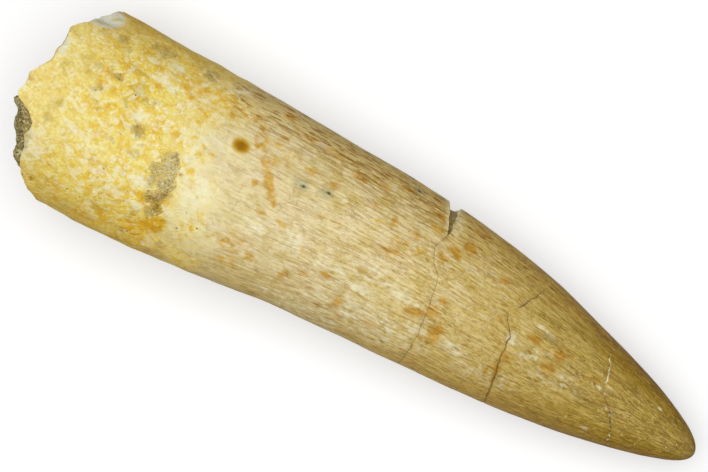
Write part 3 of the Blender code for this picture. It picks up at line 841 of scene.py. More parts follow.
@dataclass(frozen=True)
class CrownPaint:
    """Enamel: cream at its base and olive brown at the tip, with fine broken streaks, and painted shade on
    its flanks and at the tip's edges.
    """

    along: Stops = (
        (-12.0, srgb(230, 214, 166)), (-4.0, srgb(226, 208, 158)), (4.0, srgb(218, 196, 134)),
        (12.0, srgb(200, 174, 102)), (19.0, srgb(164, 136, 60)), (22.8, srgb(136, 110, 38)),
        (25.6, srgb(124, 98, 30)),
    )
    line: Colour = srgb(146, 102, 16)
    straw: Colour = srgb(182, 152, 58)
    moss: Colour = srgb(178, 150, 52)
    tan: Colour = srgb(184, 142, 56)
    blush: Colour = srgb(230, 212, 176)
    pale: Colour = srgb(240, 226, 194)
    craze: Colour = srgb(158, 116, 60)
    brown: Colour = srgb(104, 76, 12)
    # Pale scratches, and the painted sheen on the flanks.
    scratch: Colour = srgb(226, 206, 150)
    glint: Colour = srgb(206, 180, 106)
    sparkle: Colour = srgb(246, 232, 190)
    # The next two tints are painted shade, multiplied in where the enamel turns away to its sides and at the
    # tip's edges.
    flank: Colour = (0.92, 0.77, 0.36, 1.0)
    tip_edge: Colour = (0.84, 0.80, 0.42, 1.0)
    rich: tuple[float, ...] = (-11.0, 4.0, 0.45, 1.0)
    clouds: tuple[Coat, ...] = (
        Coat(blush, 0.50, Pattern.PATCH, (0.42, 0.46, 0.57), (8, 5, 3), (12, 4), Layer.PLACE),
        Coat(straw, 0.50, Pattern.PATCH, (0.7, 0.53, 0.66, 1.2), (2, 1, 7), (-9, -4), Layer.PLACE),
        Coat(moss, 0.44, Pattern.PATCH, (1.5, 0.55, 0.66, 0.8), (5, 8, 2), (-10, -2, 0.5, 1), Layer.PLACE),
    )
    streaks: tuple[Coat, ...] = (
        Coat(straw, 0.40, Pattern.STREAK, (0.55, 1.2, 0.47, 0.64), (0, 0, 0), rich),
        Coat(tan, 0.42, Pattern.STREAK, (1.0, 2.0, 0.54, 0.68), (3, 5, 1), rich),
        Coat(pale, 0.42, Pattern.STREAK, (0.65, 3.6, 0.53, 0.66), (4, 7, 2), (17, 4, 0.2, 1)),
        Coat(straw, 0.36, Pattern.STREAK, (1.2, 3.6, 0.53, 0.66), (2, 9, 7), rich),
        Coat(scratch, 0.50, Pattern.STREAK, (1.3, 6.0, 0.54, 0.68), (9, 2, 5), (4, 18, 1, 0.7)),
        Coat(line, 0.52, Pattern.STREAK, (1.3, 6.5, 0.55, 0.66), (8, 1, 6), (-11, 12, 0.35, 1)),
        Coat(brown, 0.30, Pattern.STREAK, (0.34, 1.3, 0.48, 0.64), (6, 2, 4), (8, 19)),
        Coat(line, 0.40, Pattern.STREAK, (1.0, 2.8, 0.46, 0.54), (1, 3, 9), (-11, -2, 0.65, 1),
             within=Within.VALLEYS),
        Coat(line, 0.80, Pattern.STREAK, (0.9, 3.8, 0.50, 0.55), (5, 6, 3), within=Within.UPPER_FLANK),
        # Painted sheen: pale streaks on both flanks, weaker towards the tip.
        Coat(scratch, 0.80, Pattern.STREAK, (0.9, 4.0, 0.51, 0.56), (7, 8, 1), (18, 4, 0.3, 1),
             within=Within.BOTH_FLANKS),
    )
    threads: tuple[Coat, ...] = (
        Coat(glint, 0.52, Pattern.PATCH, (1.9, 0.52, 0.62, 1.2), (3, 3, 6), (9, 15), stretch=(0.4, 1, 1)),
        Coat(brown, 0.34, Pattern.PATCH, (1.9, 0.52, 0.62, 1.2), (5, 9, 4), (9, 15), stretch=(0.4, 1, 1)),
        Coat(brown, 0.60, Pattern.THREAD, (0.16, 1.3, 0.022), (3, 1, 8), (6, 15)),
        Coat(line, 0.42, Pattern.THREAD, (0.24, 3.0, 0.035), (6, 4, 2), (-11, 0, 0.4, 1)),
        Coat(brown, 0.38, Pattern.THREAD, (0.5, 4.5, 0.03), (2, 5, 3), (3, 11)),
        Coat(glint, 0.48, Pattern.THREAD, (0.5, 4.0, 0.03), (8, 3, 5), (3, 11)),
    )
    scratches: tuple[Coat, ...] = (
        Coat(scratch, 0.5, Pattern.STREAK, (0.5, 3.6, 0.68, 0.72), (2, 2, 2), (12, 18), Layer.PLACE, turn=50),
        # Painted highlights: sparse near-white specks, more of them towards the tip.
        Coat(sparkle, 0.40, Pattern.SPECK, (2.6, 0.10, 0.20)),
        Coat(sparkle, 0.50, Pattern.SPECK, (4.6, 0.16, 0.20), shown=(10, 20)),
    )

    def colour(self, graph: Painter, place: Socket, grain: Socket) -> Socket:
        """Builds the colour.

        Args:
            graph: the material's graph.
            place: where each point is, in millimetres.
            grain: place along the tooth and round it, which the streaks follow.

        Returns:
            The colour.
        """
        along, flank = graph.axis(grain, 0), graph.amount(Layer.FLANK)
        first, last = self.along[0][0], self.along[-1][0]
        share = graph.node("MapRange", {"Value": along, "From Min": first, "From Max": last}).outputs[0]
        stops = tuple(((x - first) / (last - first), colour) for x, colour in self.along)
        upper = graph.fade(graph.axis(place, 1), -2.0, 2.0, 0.4, 1.0)
        parts = {
            Within.VALLEYS: graph.fade(graph.amount(Layer.VALLEY), 0.30, 0.80),
            Within.UPPER_FLANK: graph.times(graph.fade(flank, 0.10, 0.45), upper),
            Within.BOTH_FLANKS: graph.fade(flank, 0.18, 0.55),
        }
        colour = graph.coat(graph.ramp(share, stops), self.clouds + self.streaks, along, parts)
        worn = graph.shaken(graph.moved(grain, (0, 0, 0), stretch=(0.7, 1, 1)), 0.6)
        tone = graph.grains(worn, 8.0)["Tone"]
        busy = graph.patch(graph.moved(grain, (1.0, 7.0, 9.0)), 0.55, 0.42, 0.60)
        sandy = graph.times(graph.fade(along, -10.0, 13.0, 0.3, 1.0), graph.fade(busy, 0.0, 1.0, 0.45, 1.0))
        colour = graph.lay(colour, self.glint, graph.times(graph.fade(tone, 0.66, 0.80), sandy), 0.46)
        colour = graph.lay(colour, self.brown, graph.times(graph.fade(tone, 0.34, 0.20), sandy), 0.34)
        colour = graph.coat(colour, self.threads, along)
        net = {"Place": grain, "Scale": 0.36, "Width": 0.025, "Cover": 0.5}
        cracks = graph.group(graph.effects.crazing, net).outputs["Line"]
        colour = graph.lay(colour, self.craze, graph.times(cracks, graph.fade(along, 3.0, -4.0)), 0.42)
        # Painted shade: darker towards both flanks, a little less so near the root, and more at the tip's
        # edges.
        edge = graph.times(graph.fade(flank, 0.03, 0.75), graph.fade(along, 0.0, 10.0, 0.6, 1.0))
        tip_edge = graph.times(graph.fade(flank, 0.05, 0.32), graph.fade(along, 12.0, 21.0))
        colour = graph.lay(colour, self.flank, edge, 1.0, "MULTIPLY")
        colour = graph.lay(colour, self.tip_edge, tip_edge, 1.0, "MULTIPLY")
        return graph.coat(colour, self.scratches, along)


@dataclass(frozen=True)
class StainPaint:
    """What soaked into the tooth, chipped off it, or filled its breaks, with painted shade at the rim's edge
    and in the notch, and a pale bevel in the notch that is partly painted highlight.
    """

    gold: Colour = (0.92, 0.68, 0.10, 1.0)
    rust: Colour = (0.84, 0.62, 0.24, 1.0)
    amber: Colour = srgb(194, 148, 20)
    brown: Colour = srgb(146, 94, 0)
    grey: Colour = srgb(150, 130, 80)
    grey_dot: Colour = srgb(108, 88, 44)
    pale: Colour = srgb(244, 238, 208)
    halo: Colour = srgb(158, 158, 124)
    slate: Colour = srgb(62, 66, 38)
    # Dark glue lines, and painted shade at the rim's edge and at the notch's narrow end.
    groove: Colour = srgb(112, 80, 32)
    fill: Colour = srgb(238, 228, 198)
    floor: Colour = srgb(170, 146, 88)
    # Pale broken facet of the notch, partly painted highlight.
    bevel: Colour = srgb(246, 234, 190)
    chip: Colour = srgb(232, 228, 214)
    chip_line: Colour = srgb(196, 190, 96)

    def over(self, graph: Painter, place: Socket, grain: Socket, colour: Socket) -> Socket:
        """Lays the stains over a colour.

        Args:
            graph: the material's graph.
            place: where each point is, in millimetres.
            grain: place along the tooth and round it.
            colour: the clean colour.

        Returns:
            The stained colour.
        """
        ragged = graph.times(graph.cloud(place, 2.2), 2.4)
        drawn = graph.times(graph.drawn(grain, 1.2, 3.6), 2.0)
        both = graph.plus(graph.times(drawn, 0.75), graph.times(ragged, 0.75))
        for layer, tint, cover, torn, blend in (
            (Layer.PALE, self.pale, 0.57, both, "MIX"),
            # The grey layer also carries painted shade at the rim beside the plug.
            (Layer.GREY, self.grey, 0.58, ragged, "MIX"),
            (Layer.GOLD, self.gold, 1.0, ragged, "MULTIPLY"),
            (Layer.RUST, self.rust, 1.0, both, "MULTIPLY"),
        ):
            amount = graph.amount(layer)
            shaken = graph.plus(amount, graph.times(torn, graph.fade(amount, 0.0, 0.4)))
            colour = graph.lay(colour, tint, graph.fade(shaken, 0.1, 1.0), cover, blend)
        dots = graph.times(graph.speck(place, 3.6, 0.4, 0.3), graph.fade(graph.amount(Layer.GREY), 0.2, 0.7))
        colour = graph.lay(colour, self.grey_dot, dots, 0.7)
        for layer, tint, low, high, cover in (
            (Layer.BROWN, self.amber, 0.03, 0.70, 0.95),
            (Layer.BROWN, self.brown, 0.45, 1.30, 0.95),
            (Layer.SLATE, self.halo, 0.02, 0.20, 0.45),
            (Layer.SLATE, self.slate, 0.25, 0.90, 0.95),
            (Layer.CHIP, self.chip, 0.15, 0.85, 0.95),
        ):
            colour = graph.lay(colour, tint, graph.fade(graph.amount(layer), low, high), cover)
        lines = graph.streak(graph.moved(place, (0.0, 0.0, 0.0), -28.0), 0.4, 2.4, 0.50, 0.62)
        chipped = graph.fade(graph.amount(Layer.CHIP), 0.4, 0.9)
        colour = graph.lay(colour, self.chip_line, graph.times(graph.times(lines, 0.7), chipped))
        # The groove colour also lays painted shade at the rim's edge and the notch's narrow end, and the
        # bevel colour is partly painted highlight.
        for layer, tint in (
            (Layer.BEVEL, self.bevel),
            (Layer.FLOOR, self.floor),
            (Layer.GROOVE, self.groove),
            (Layer.FILL, self.fill),
        ):
            colour = graph.lay(colour, tint, graph.math("MINIMUM", graph.amount(layer), 1.0))
        gaps = graph.grains(place, 6.0)["Gap"]
        return graph.lay(colour, self.groove, graph.times(gaps, graph.amount(Layer.FLOOR)), 0.7)


@dataclass(frozen=True)
class ToothFinish(Surface):
    """Skin of the tooth: weathered root, ridged enamel, and every stain and break on them."""

    name: str = "fossil_tooth"
    roughness: float = 0.45
    specular: float = 0.13
    patina: Colour = (0.975, 0.995, 0.95, 1.0)
    root: RootPaint = RootPaint()
    crown: CrownPaint = CrownPaint()
    stains: StainPaint = StainPaint()

    def build(self, effects: Effects) -> bpy.types.Material:
        """Makes the material.

        Args:
            effects: the shared node groups.

        Returns:
            The material.
        """
        material, graph, shader = self.start(effects)
        place, grain = graph.vector(Layer.PLACE), graph.vector(Layer.GRAIN)
        enamel = self._enamel_mask(graph, place)
        root = self.root.colour(graph, place)
        crown = self.crown.colour(graph, place, grain)
        colour = self.stains.over(graph, place, grain, graph.lay(root, crown, enamel))
        graph.feed(shader.inputs["Base Color"], graph.lay(colour, self.patina, 1.0, blend="MULTIPLY"))
        fine = graph.patch(place, 6.0, 0.3, 0.7, 0.2)
        gloss = graph.math("SUBTRACT", graph.fade(fine, 0.0, 1.0, 0.64, 0.52), graph.times(enamel, 0.18))
        graph.feed(shader.inputs["Roughness"], gloss)
        grains = graph.grains(place, 5.0)["Height"]
        rough = graph.plus(graph.times(grains, 0.35), graph.times(fine, 0.65))
        drawn = graph.streak(grain, 1.6, 6.5, 0.3, 0.7)
        pitted = graph.plus(graph.times(drawn, 0.4), graph.times(fine, 0.25))
        height = graph.node("Mix", {0: enamel, 2: rough, 3: pitted}).outputs[0]
        self.bump(graph, shader, height, 0.032)
        return material

    @staticmethod
    def _enamel_mask(graph: Painter, place: Socket) -> Socket:
        """0 on the root and 1 on the enamel, with a patchy edge."""
        wander = graph.times(graph.cloud(place, 0.45), 5.0)
        torn = graph.times(graph.cloud(place, 2.2), 3.5)
        past = graph.plus(graph.plus(graph.amount(Layer.PAST_LINE), wander), torn)
        return graph.fade(past, -0.9, 0.9)


@dataclass(frozen=True)
class BrokenFinish(Surface):
    """Broken end of the root: pale growth layers round the cavity, dusty and stained."""

    name: str = "broken_dentine"
    roughness: float = 0.75
    specular: float = 0.35
    pale: Colour = srgb(222, 210, 168)
    yellow: Colour = srgb(206, 178, 100)
    grey: Colour = srgb(178, 168, 138)
    dirt: Colour = srgb(146, 122, 70)
    sand: Stops = ((0.2, srgb(130, 108, 54)), (0.5, srgb(170, 152, 94)), (0.8, srgb(200, 186, 130)))

    def build(self, effects: Effects, cavity: PulpCavity) -> bpy.types.Material:
        """Makes the material.

        Args:
            effects: the shared node groups.
            cavity: the pulp cavity, which the growth layers surround.

        Returns:
            The material.
        """
        material, graph, shader = self.start(effects)
        place = graph.vector(Layer.PLACE)
        middle = graph.node("VectorMath", {0: place, 1: (0.0, cavity.y, cavity.z)}, operation="SUBTRACT")
        flat = graph.node("VectorMath", {0: middle.outputs[0], 1: (0.0, 1.0, 0.85)}, operation="MULTIPLY")
        away = graph.node("VectorMath", {0: flat.outputs[0]}, operation="LENGTH").outputs["Value"]
        bent = graph.plus(away, graph.times(graph.cloud(place, 0.9), 1.6))
        layers = graph.fade(graph.math("SINE", graph.times(bent, 9.0)), -0.8, 0.9)
        colour = graph.lay(self.pale, self.yellow, layers, 0.5)
        colour = graph.lay(colour, self.grey, graph.patch(place, 1.2, 0.5, 0.6), 0.55)
        grains = graph.grains(place, 3.4)
        colour = graph.lay(colour, self.dirt, grains["Gap"], 0.5)
        coated = graph.fade(graph.plus(graph.amount(Layer.COATING), graph.cloud(place, 1.5)), 0.3, 0.6)
        sand = graph.grains(place, 7.0)
        sandy = graph.lay(graph.ramp(sand["Tone"], self.sand), self.dirt, sand["Gap"], 0.6)
        colour = graph.lay(colour, sandy, coated)
        graph.feed(shader.inputs["Base Color"], colour)
        dust = graph.patch(place, 4.0, 0.3, 0.7)
        height = graph.plus(graph.times(grains["Height"], 0.6), graph.times(dust, 0.4))
        self.bump(graph, shader, height, 0.12)
        return material


@dataclass(frozen=True)
class MatrixFinish(Surface):
    """Sandy rock: packed grains of mixed tone with darker gaps."""

    name: str = "sandy_matrix"
    roughness: float = 0.9
    specular: float = 0.3
    dark: Colour = srgb(136, 116, 60)
    middle: Colour = srgb(186, 170, 108)
    light: Colour = srgb(214, 202, 146)
    gap: Colour = srgb(78, 66, 30)
    stain: Colour = srgb(164, 132, 76)
    thin: Colour = srgb(228, 204, 120)
    scale: float = 7.5
    gap_cover: float = 0.65
    bloom: float = 0.0
    soaked: Colour = (0.74, 0.58, 0.22, 1.0)

    def build(self, effects: Effects) -> bpy.types.Material:
        """Makes the material.

        Args:
            effects: the shared node groups.

        Returns:
            The material.
        """
        material, graph, shader = self.start(effects)
        place = graph.vector(Layer.PLACE)
        grains = graph.grains(place, self.scale)
        tone = graph.plus(graph.times(grains["Tone"], 0.75), graph.plus(graph.cloud(place, 1.4), 0.125))
        colour = graph.ramp(tone, ((0.2, self.dark), (0.5, self.middle), (0.8, self.light)))
        colour = graph.lay(colour, self.stain, graph.patch(place, 1.1, 0.5, 0.62), 0.5)
        sunk = graph.fade(graph.amount(Layer.VALLEY), 0.2, 0.9)
        colour = graph.lay(colour, self.gap, sunk, self.gap_cover)
        colour = graph.lay(colour, self.gap, graph.speck(place, 3.0, 0.2, 0.26), 0.7)
        powder = graph.patch(graph.moved(place, (4.0, 9.0, 2.0)), 1.5, 0.48, 0.60)
        colour = graph.lay(colour, self.thin, powder, self.bloom)
        colour = graph.lay(colour, self.thin, graph.fade(graph.amount(Layer.COATING), 0.8, 0.0), 0.8)
        gold = graph.amount(Layer.GOLD)
        soaked = graph.plus(gold, graph.times(graph.cloud(place, 1.6), gold))
        colour = graph.lay(colour, self.soaked, soaked, 1.0, "MULTIPLY")
        graph.feed(shader.inputs["Base Color"], colour)
        fine = graph.patch(place, 7.0, 0.3, 0.7)
        height = graph.plus(graph.times(grains["Height"], 0.6), graph.times(fine, 0.4))
        self.bump(graph, shader, height, 0.10)
        return material


@dataclass(frozen=True)
class Marks:
    """Marks at places of their own on the tooth's top side, each kind named as the layer that carries it."""

    chip: tuple[Spot, ...] = spots(
        (-22.55, 5.95, 1.05, 0.5, 1.4, 20), (-22.2, 6.35, 0.7, 0.35, 1.2, 10),
        (-24.12, 3.1, 0.24, 0.72, 0.8),
    )
    # Grey stains; the two spots at the rim by the plug, at x -23.5 and -25.2, are painted shade.
    grey: tuple[Spot, ...] = spots(
        (-12.4, -6.4, 0.8, 0.3, 0.5), (-23.5, -3.7, 0.4, 0.8, 0.7), (-25.2, 0.15, 0.3, 0.3, 0.4),
        (-17.17, 0.35, 0.5, 0.36, 1.2), (-18.12, 5.86, 0.9, 0.4, 0.8), (-20.83, 5.29, 0.45, 0.3, 0.8),
        (-20.92, 1.66, 0.4, 0.34, 0.7), (-19.92, 2.94, 0.35, 0.3, 0.8), (-16.67, -1.12, 0.45, 0.35, 0.5),
        (-14.56, 5.9, 0.6, 0.35, 0.7), (-17.37, 2.41, 0.5, 0.4, 0.5), (-14.35, -0.7, 0.75, 0.6, 0.8, -50),
        (-14.6, -1.9, 0.8, 0.8, 0.7), (-14, -3.7, 0.35, 0.8, 1, 10), (1.2, 5.5, 0.9, 0.3, 0.6),
        (13.5, 1.05, 0.7, 0.25, 0.9), (6, -1.9, 0.5, 0.7, 0.5), (-12.4, -5.6, 0.6, 0.25, 0.6),
        (-15.2, -5.9, 0.9, 0.2, 0.6), (-9.4, -5.6, 0.8, 0.2, 0.5),
    )
    slate: tuple[Spot, ...] = spots(
        (-5.89, 2.25, 0.18, 0.17, 1.2), (-6, 2.35, 0.55, 0.42, 0.2), (-4.3, 2.55, 0.55, 0.4, 0.2),
        (-13.45, -2.45, 0.2, 0.12, 0.55, 30), (-13.75, -2.8, 0.2, 0.07, 0.5, 40),
        (-14.55, -3.3, 0.34, 0.07, 0.45), (-14.15, 0.25, 0.1, 0.08, 0.5), (-14.6, 0.1, 0.08, 0.08, 0.5),
        (-6.08, 2.48, 0.08, 0.07, 0.6), (-4.14, 2.65, 0.15, 0.12), (-3.95, 2.8, 0.08, 0.07, 0.7),
        (1.2, 5.62, 0.1, 0.12, 0.9),
    )
    brown: tuple[Spot, ...] = spots(
        (-10.68, 2.71, 0.5, 0.4, 1.3), (-13.5, -2.35, 0.3, 0.15, 0.5, 50), (-22.01, -5.75, 0.2, 0.16, 0.9),
        (-25, 0.09, 0.2, 0.15, 0.5), (-13.5, -2.6, 0.4, 0.25, 0.35, 30), (-12.85, -4.55, 0.12, 0.32, 0.6),
        (-16.88, -5.62, 0.3, 0.25, 0.5), (-13.28, -0.85, 0.14, 0.14, 0.8),
    )
    gold: tuple[Spot, ...] = spots(
        (-15, 4.4, 1, 0.6, 0.5), (-24.3, 1.3, 0.9, 0.9, 0.3), (-7.6, 3.7, 1, 0.4, 0.4),
        (2.4, 2, 1.6, 0.6, 0.4), (-0.2, 2.5, 1.4, 0.5, 0.35), (-14, 2.5, 0.9, 0.5, 0.5),
        (-20.4, 2.3, 1, 0.7, 0.4), (-8.7, -3.6, 1.2, 0.5, 0.45), (-8, -4.5, 0.9, 0.5, 0.45),
        (-13.45, -4.68, 0.95, 0.46, 1.1, 28), (-8.5, 3.4, 1.5, 0.8, 0.5), (-13, -4.35, 0.4, 0.3, 1.1, 28),
        (-14.6, -4.7, 0.7, 0.3, 0.6, -10), (-14.9, -5.6, 1.1, 0.4, 0.6), (-12.7, 4.7, 1.7, 1, 0.62, -20),
        (-13.35, -2.95, 0.25, 0.3, 0.7), (-15.1, -3.2, 0.35, 0.45, 0.6), (-12.85, -0.42, 0.28, 0.3, 0.9),
        (-12.85, 1.42, 0.2, 0.2, 0.8), (-12.44, 0.66, 0.2, 0.25, 0.8), (-12.05, 1.29, 0.22, 0.2, 0.8),
        (-11.3, -3.6, 0.6, 0.35, 0.5), (-11.2, 2.9, 0.15, 0.5, 0.6), (-13.5, 3.6, 1.4, 0.6, 0.5, -20),
    )
    rust: tuple[Spot, ...] = spots(
        (11.22, -2.5, 0.16, 1, 0.9, 12), (-9.85, 4.33, 0.35, 0.42), (-9.83, 3.41, 0.4, 0.22, 0.9, -62),
        (-8.75, 2.65, 0.55, 0.3, 1, -50), (-8.05, 1.6, 0.85, 0.3, 1.3, -58),
        (-7.35, 0.75, 0.75, 0.24, 1.2, -56), (-8.8, 1.1, 0.6, 0.13, 0.9, -58),
        (-8.3, 0.3, 0.55, 0.12, 0.8, -58), (-10.6, 4.9, 0.6, 0.5, 0.6), (-11.9, 5.4, 0.9, 0.3, 0.35),
        (-8, -3, 1.3, 0.8, 0.5), (-7.2, 5.3, 0.8, 0.4, 0.7), (-5, 5.2, 0.9, 0.3, 0.6),
        (-2.8, 4.6, 0.7, 0.3, 0.6), (-8.24, 4.55, 0.3, 0.2, 0.9), (-8.61, 5.94, 0.5, 0.25, 0.9),
        (-5.75, 3.41, 0.45, 0.22, 0.9), (-4.06, 3.22, 0.35, 0.3, 0.7), (-5.88, -0.61, 0.42, 0.28, 0.9),
        (-3.74, -1.44, 0.3, 0.35, 0.7), (-1.69, -2.16, 0.38, 0.22), (-6.88, -3.56, 0.45, 0.3, 0.9),
        (-7.46, -0.47, 0.4, 0.3, 0.7), (-4.3, -3.7, 0.6, 0.25, 0.7, 60), (1.45, 1.2, 0.75, 0.22, 0.9),
        (0.71, 3.04, 0.4, 0.25, 0.6), (2.33, 2.85, 0.5, 0.28, 0.7), (3.5, 3.95, 0.45, 0.2, 0.9),
        (3.36, 4.87, 0.55, 0.18, 1.1), (0.5, 5.4, 0.5, 0.15, 0.9), (5.2, 3.15, 0.6, 0.28, 1.1, -15),
        (5.95, 3.8, 0.45, 0.35, 1.2), (4.6, 2.5, 0.5, 0.3, 0.7), (6.2, 5, 0.5, 0.15, 0.8),
        (8.35, 2.73, 0.35, 0.12, 0.8), (9.09, 2.99, 0.4, 0.2, 0.8), (4.65, -1.66, 0.75, 0.28, 1.1, 12),
        (5.95, -0.15, 0.25, 0.35, 0.9), (5.75, -1.1, 0.45, 0.35, 1.1), (6.55, -2.2, 0.45, 0.65, 1.2),
        (6.2, -2.9, 0.8, 0.18, 0.8), (9.9, 0.68, 0.25, 0.35), (11.35, -1.49, 0.3, 0.45, 0.9),
        (12.56, 0.51, 0.55, 0.28, 1, -10), (14.5, 0.3, 0.38, 0.45, 1.1), (14.2, -0.75, 0.6, 0.3),
        (10.6, -2.8, 0.2, 0.4, 0.9), (-0.17, -3.54, 0.35, 0.5, 0.9), (-3.08, -2.75, 0.5, 0.25, 0.7),
        (-0.9, 3.24, 0.5, 0.3, 0.6), (-0.95, 4.88, 0.5, 0.25, 0.7), (2.4, -3.7, 0.6, 0.3, 0.6),
        (-2.6, 1.1, 0.4, 0.2, 0.5), (17.4, 0, 0.5, 0.25, 0.6),
    )
    pale: tuple[Spot, ...] = spots(
        (0.3, -1.1, 0.8, 0.35, 0.5), (12.6, -0.1, 0.9, 0.3, 0.4), (14.3, 0.15, 0.6, 0.3, 0.4),
        (14.8, -1.2, 2.6, 0.9, 0.3), (-5.6, 5.2, 0.8, 0.3, 0.6), (-0.7, 4.95, 0.8, 0.3, 0.5),
        (-18.7, -0.7, 0.6, 0.5, 0.6), (-13.3, 0.6, 0.5, 0.6, 0.7), (0.9, -1.9, 1, 0.5, 0.65, -10),
        (1.9, -0.8, 1, 0.35, 0.6), (5.3, -2.6, 1, 0.38, 0.7), (7.7, -2.6, 1.2, 0.45, 0.65),
        (13, -0.7, 1, 0.4, 0.4), (-18.5, -3, 0.7, 0.5, 0.75), (-16.9, 5.3, 0.7, 0.35, 0.75),
        (-11.9, -1.4, 0.9, 1.2, 0.9), (-12.3, 1.9, 0.6, 0.5, 0.6), (-17.4, 1.3, 0.9, 0.5, 0.9, 10),
        (-22.9, -3.6, 0.7, 1.2, 0.7, 15), (-17.5, 4.1, 0.7, 0.35, 0.9), (-16.2, 3.9, 0.55, 0.3, 0.8, 30),
        (-15.7, -2.6, 0.8, 0.45, 0.9), (-12.9, -1, 0.5, 1, 0.7), (1.5, -3.7, 4.5, 1.2, 0.45),
        (-2.3, -5, 3.2, 0.6, 0.5), (10.6, -3.2, 3, 0.8, 0.32, 6), (-14.95, -4.05, 0.42, 0.28),
        (-12.95, -3.5, 0.4, 0.3, 0.7), (-11.9, -3.1, 0.45, 0.35, 0.6), (-20, -1.8, 2, 1.6, 0.42),
        (4.7, 4.7, 0.3, 0.8, 0.5, 10), (-16.6, -3.9, 0.5, 0.35, 0.8), (-13.3, -5.9, 0.5, 0.35, 0.5),
        (1, -0.4, 1.8, 0.45, 0.5), (3.3, -1, 1.4, 0.5, 0.6, -10), (-4.9, -1.3, 1.6, 0.8, 0.65, -12),
        (-7.2, -1.6, 1, 1, 0.5), (-1.8, -1.6, 1.4, 0.6, 0.5), (12.9, 1.35, 1, 0.14, 0.7, -10),
        (-23.3, -3.8, 0.28, 0.85, 1.2, -8), (-12.75, 5.65, 0.87, 0.13, 1.3, 28),
        (-14.5, 4.2, 0.6, 0.15, 1.3, -6), (-14.84, 4.89, 0.75, 0.12, 1.2, 53),
        (-18.4, 4.97, 0.45, 0.16, 1.2), (17.89, -0.28, 0.12, 0.2, 0.8), (19.37, -1.23, 0.12, 0.2, 0.65),
        (18.62, 0.03, 0.26, 0.06, 0.9, -21), (22.2, 0.36, 0.22, 0.05, 0.8, -62),
        (18.2, -3.14, 0.32, 0.1, 0.6), (11.15, -0.2, 0.3, 0.55, 0.6, 15),
    )

    def covers(self, place: np.ndarray) -> dict[Layer, np.ndarray]:
        """How strongly each kind covers points of the top side."""
        return {Layer[kind.upper()]: cover_of(marks, place) for kind, marks in vars(self).items()}


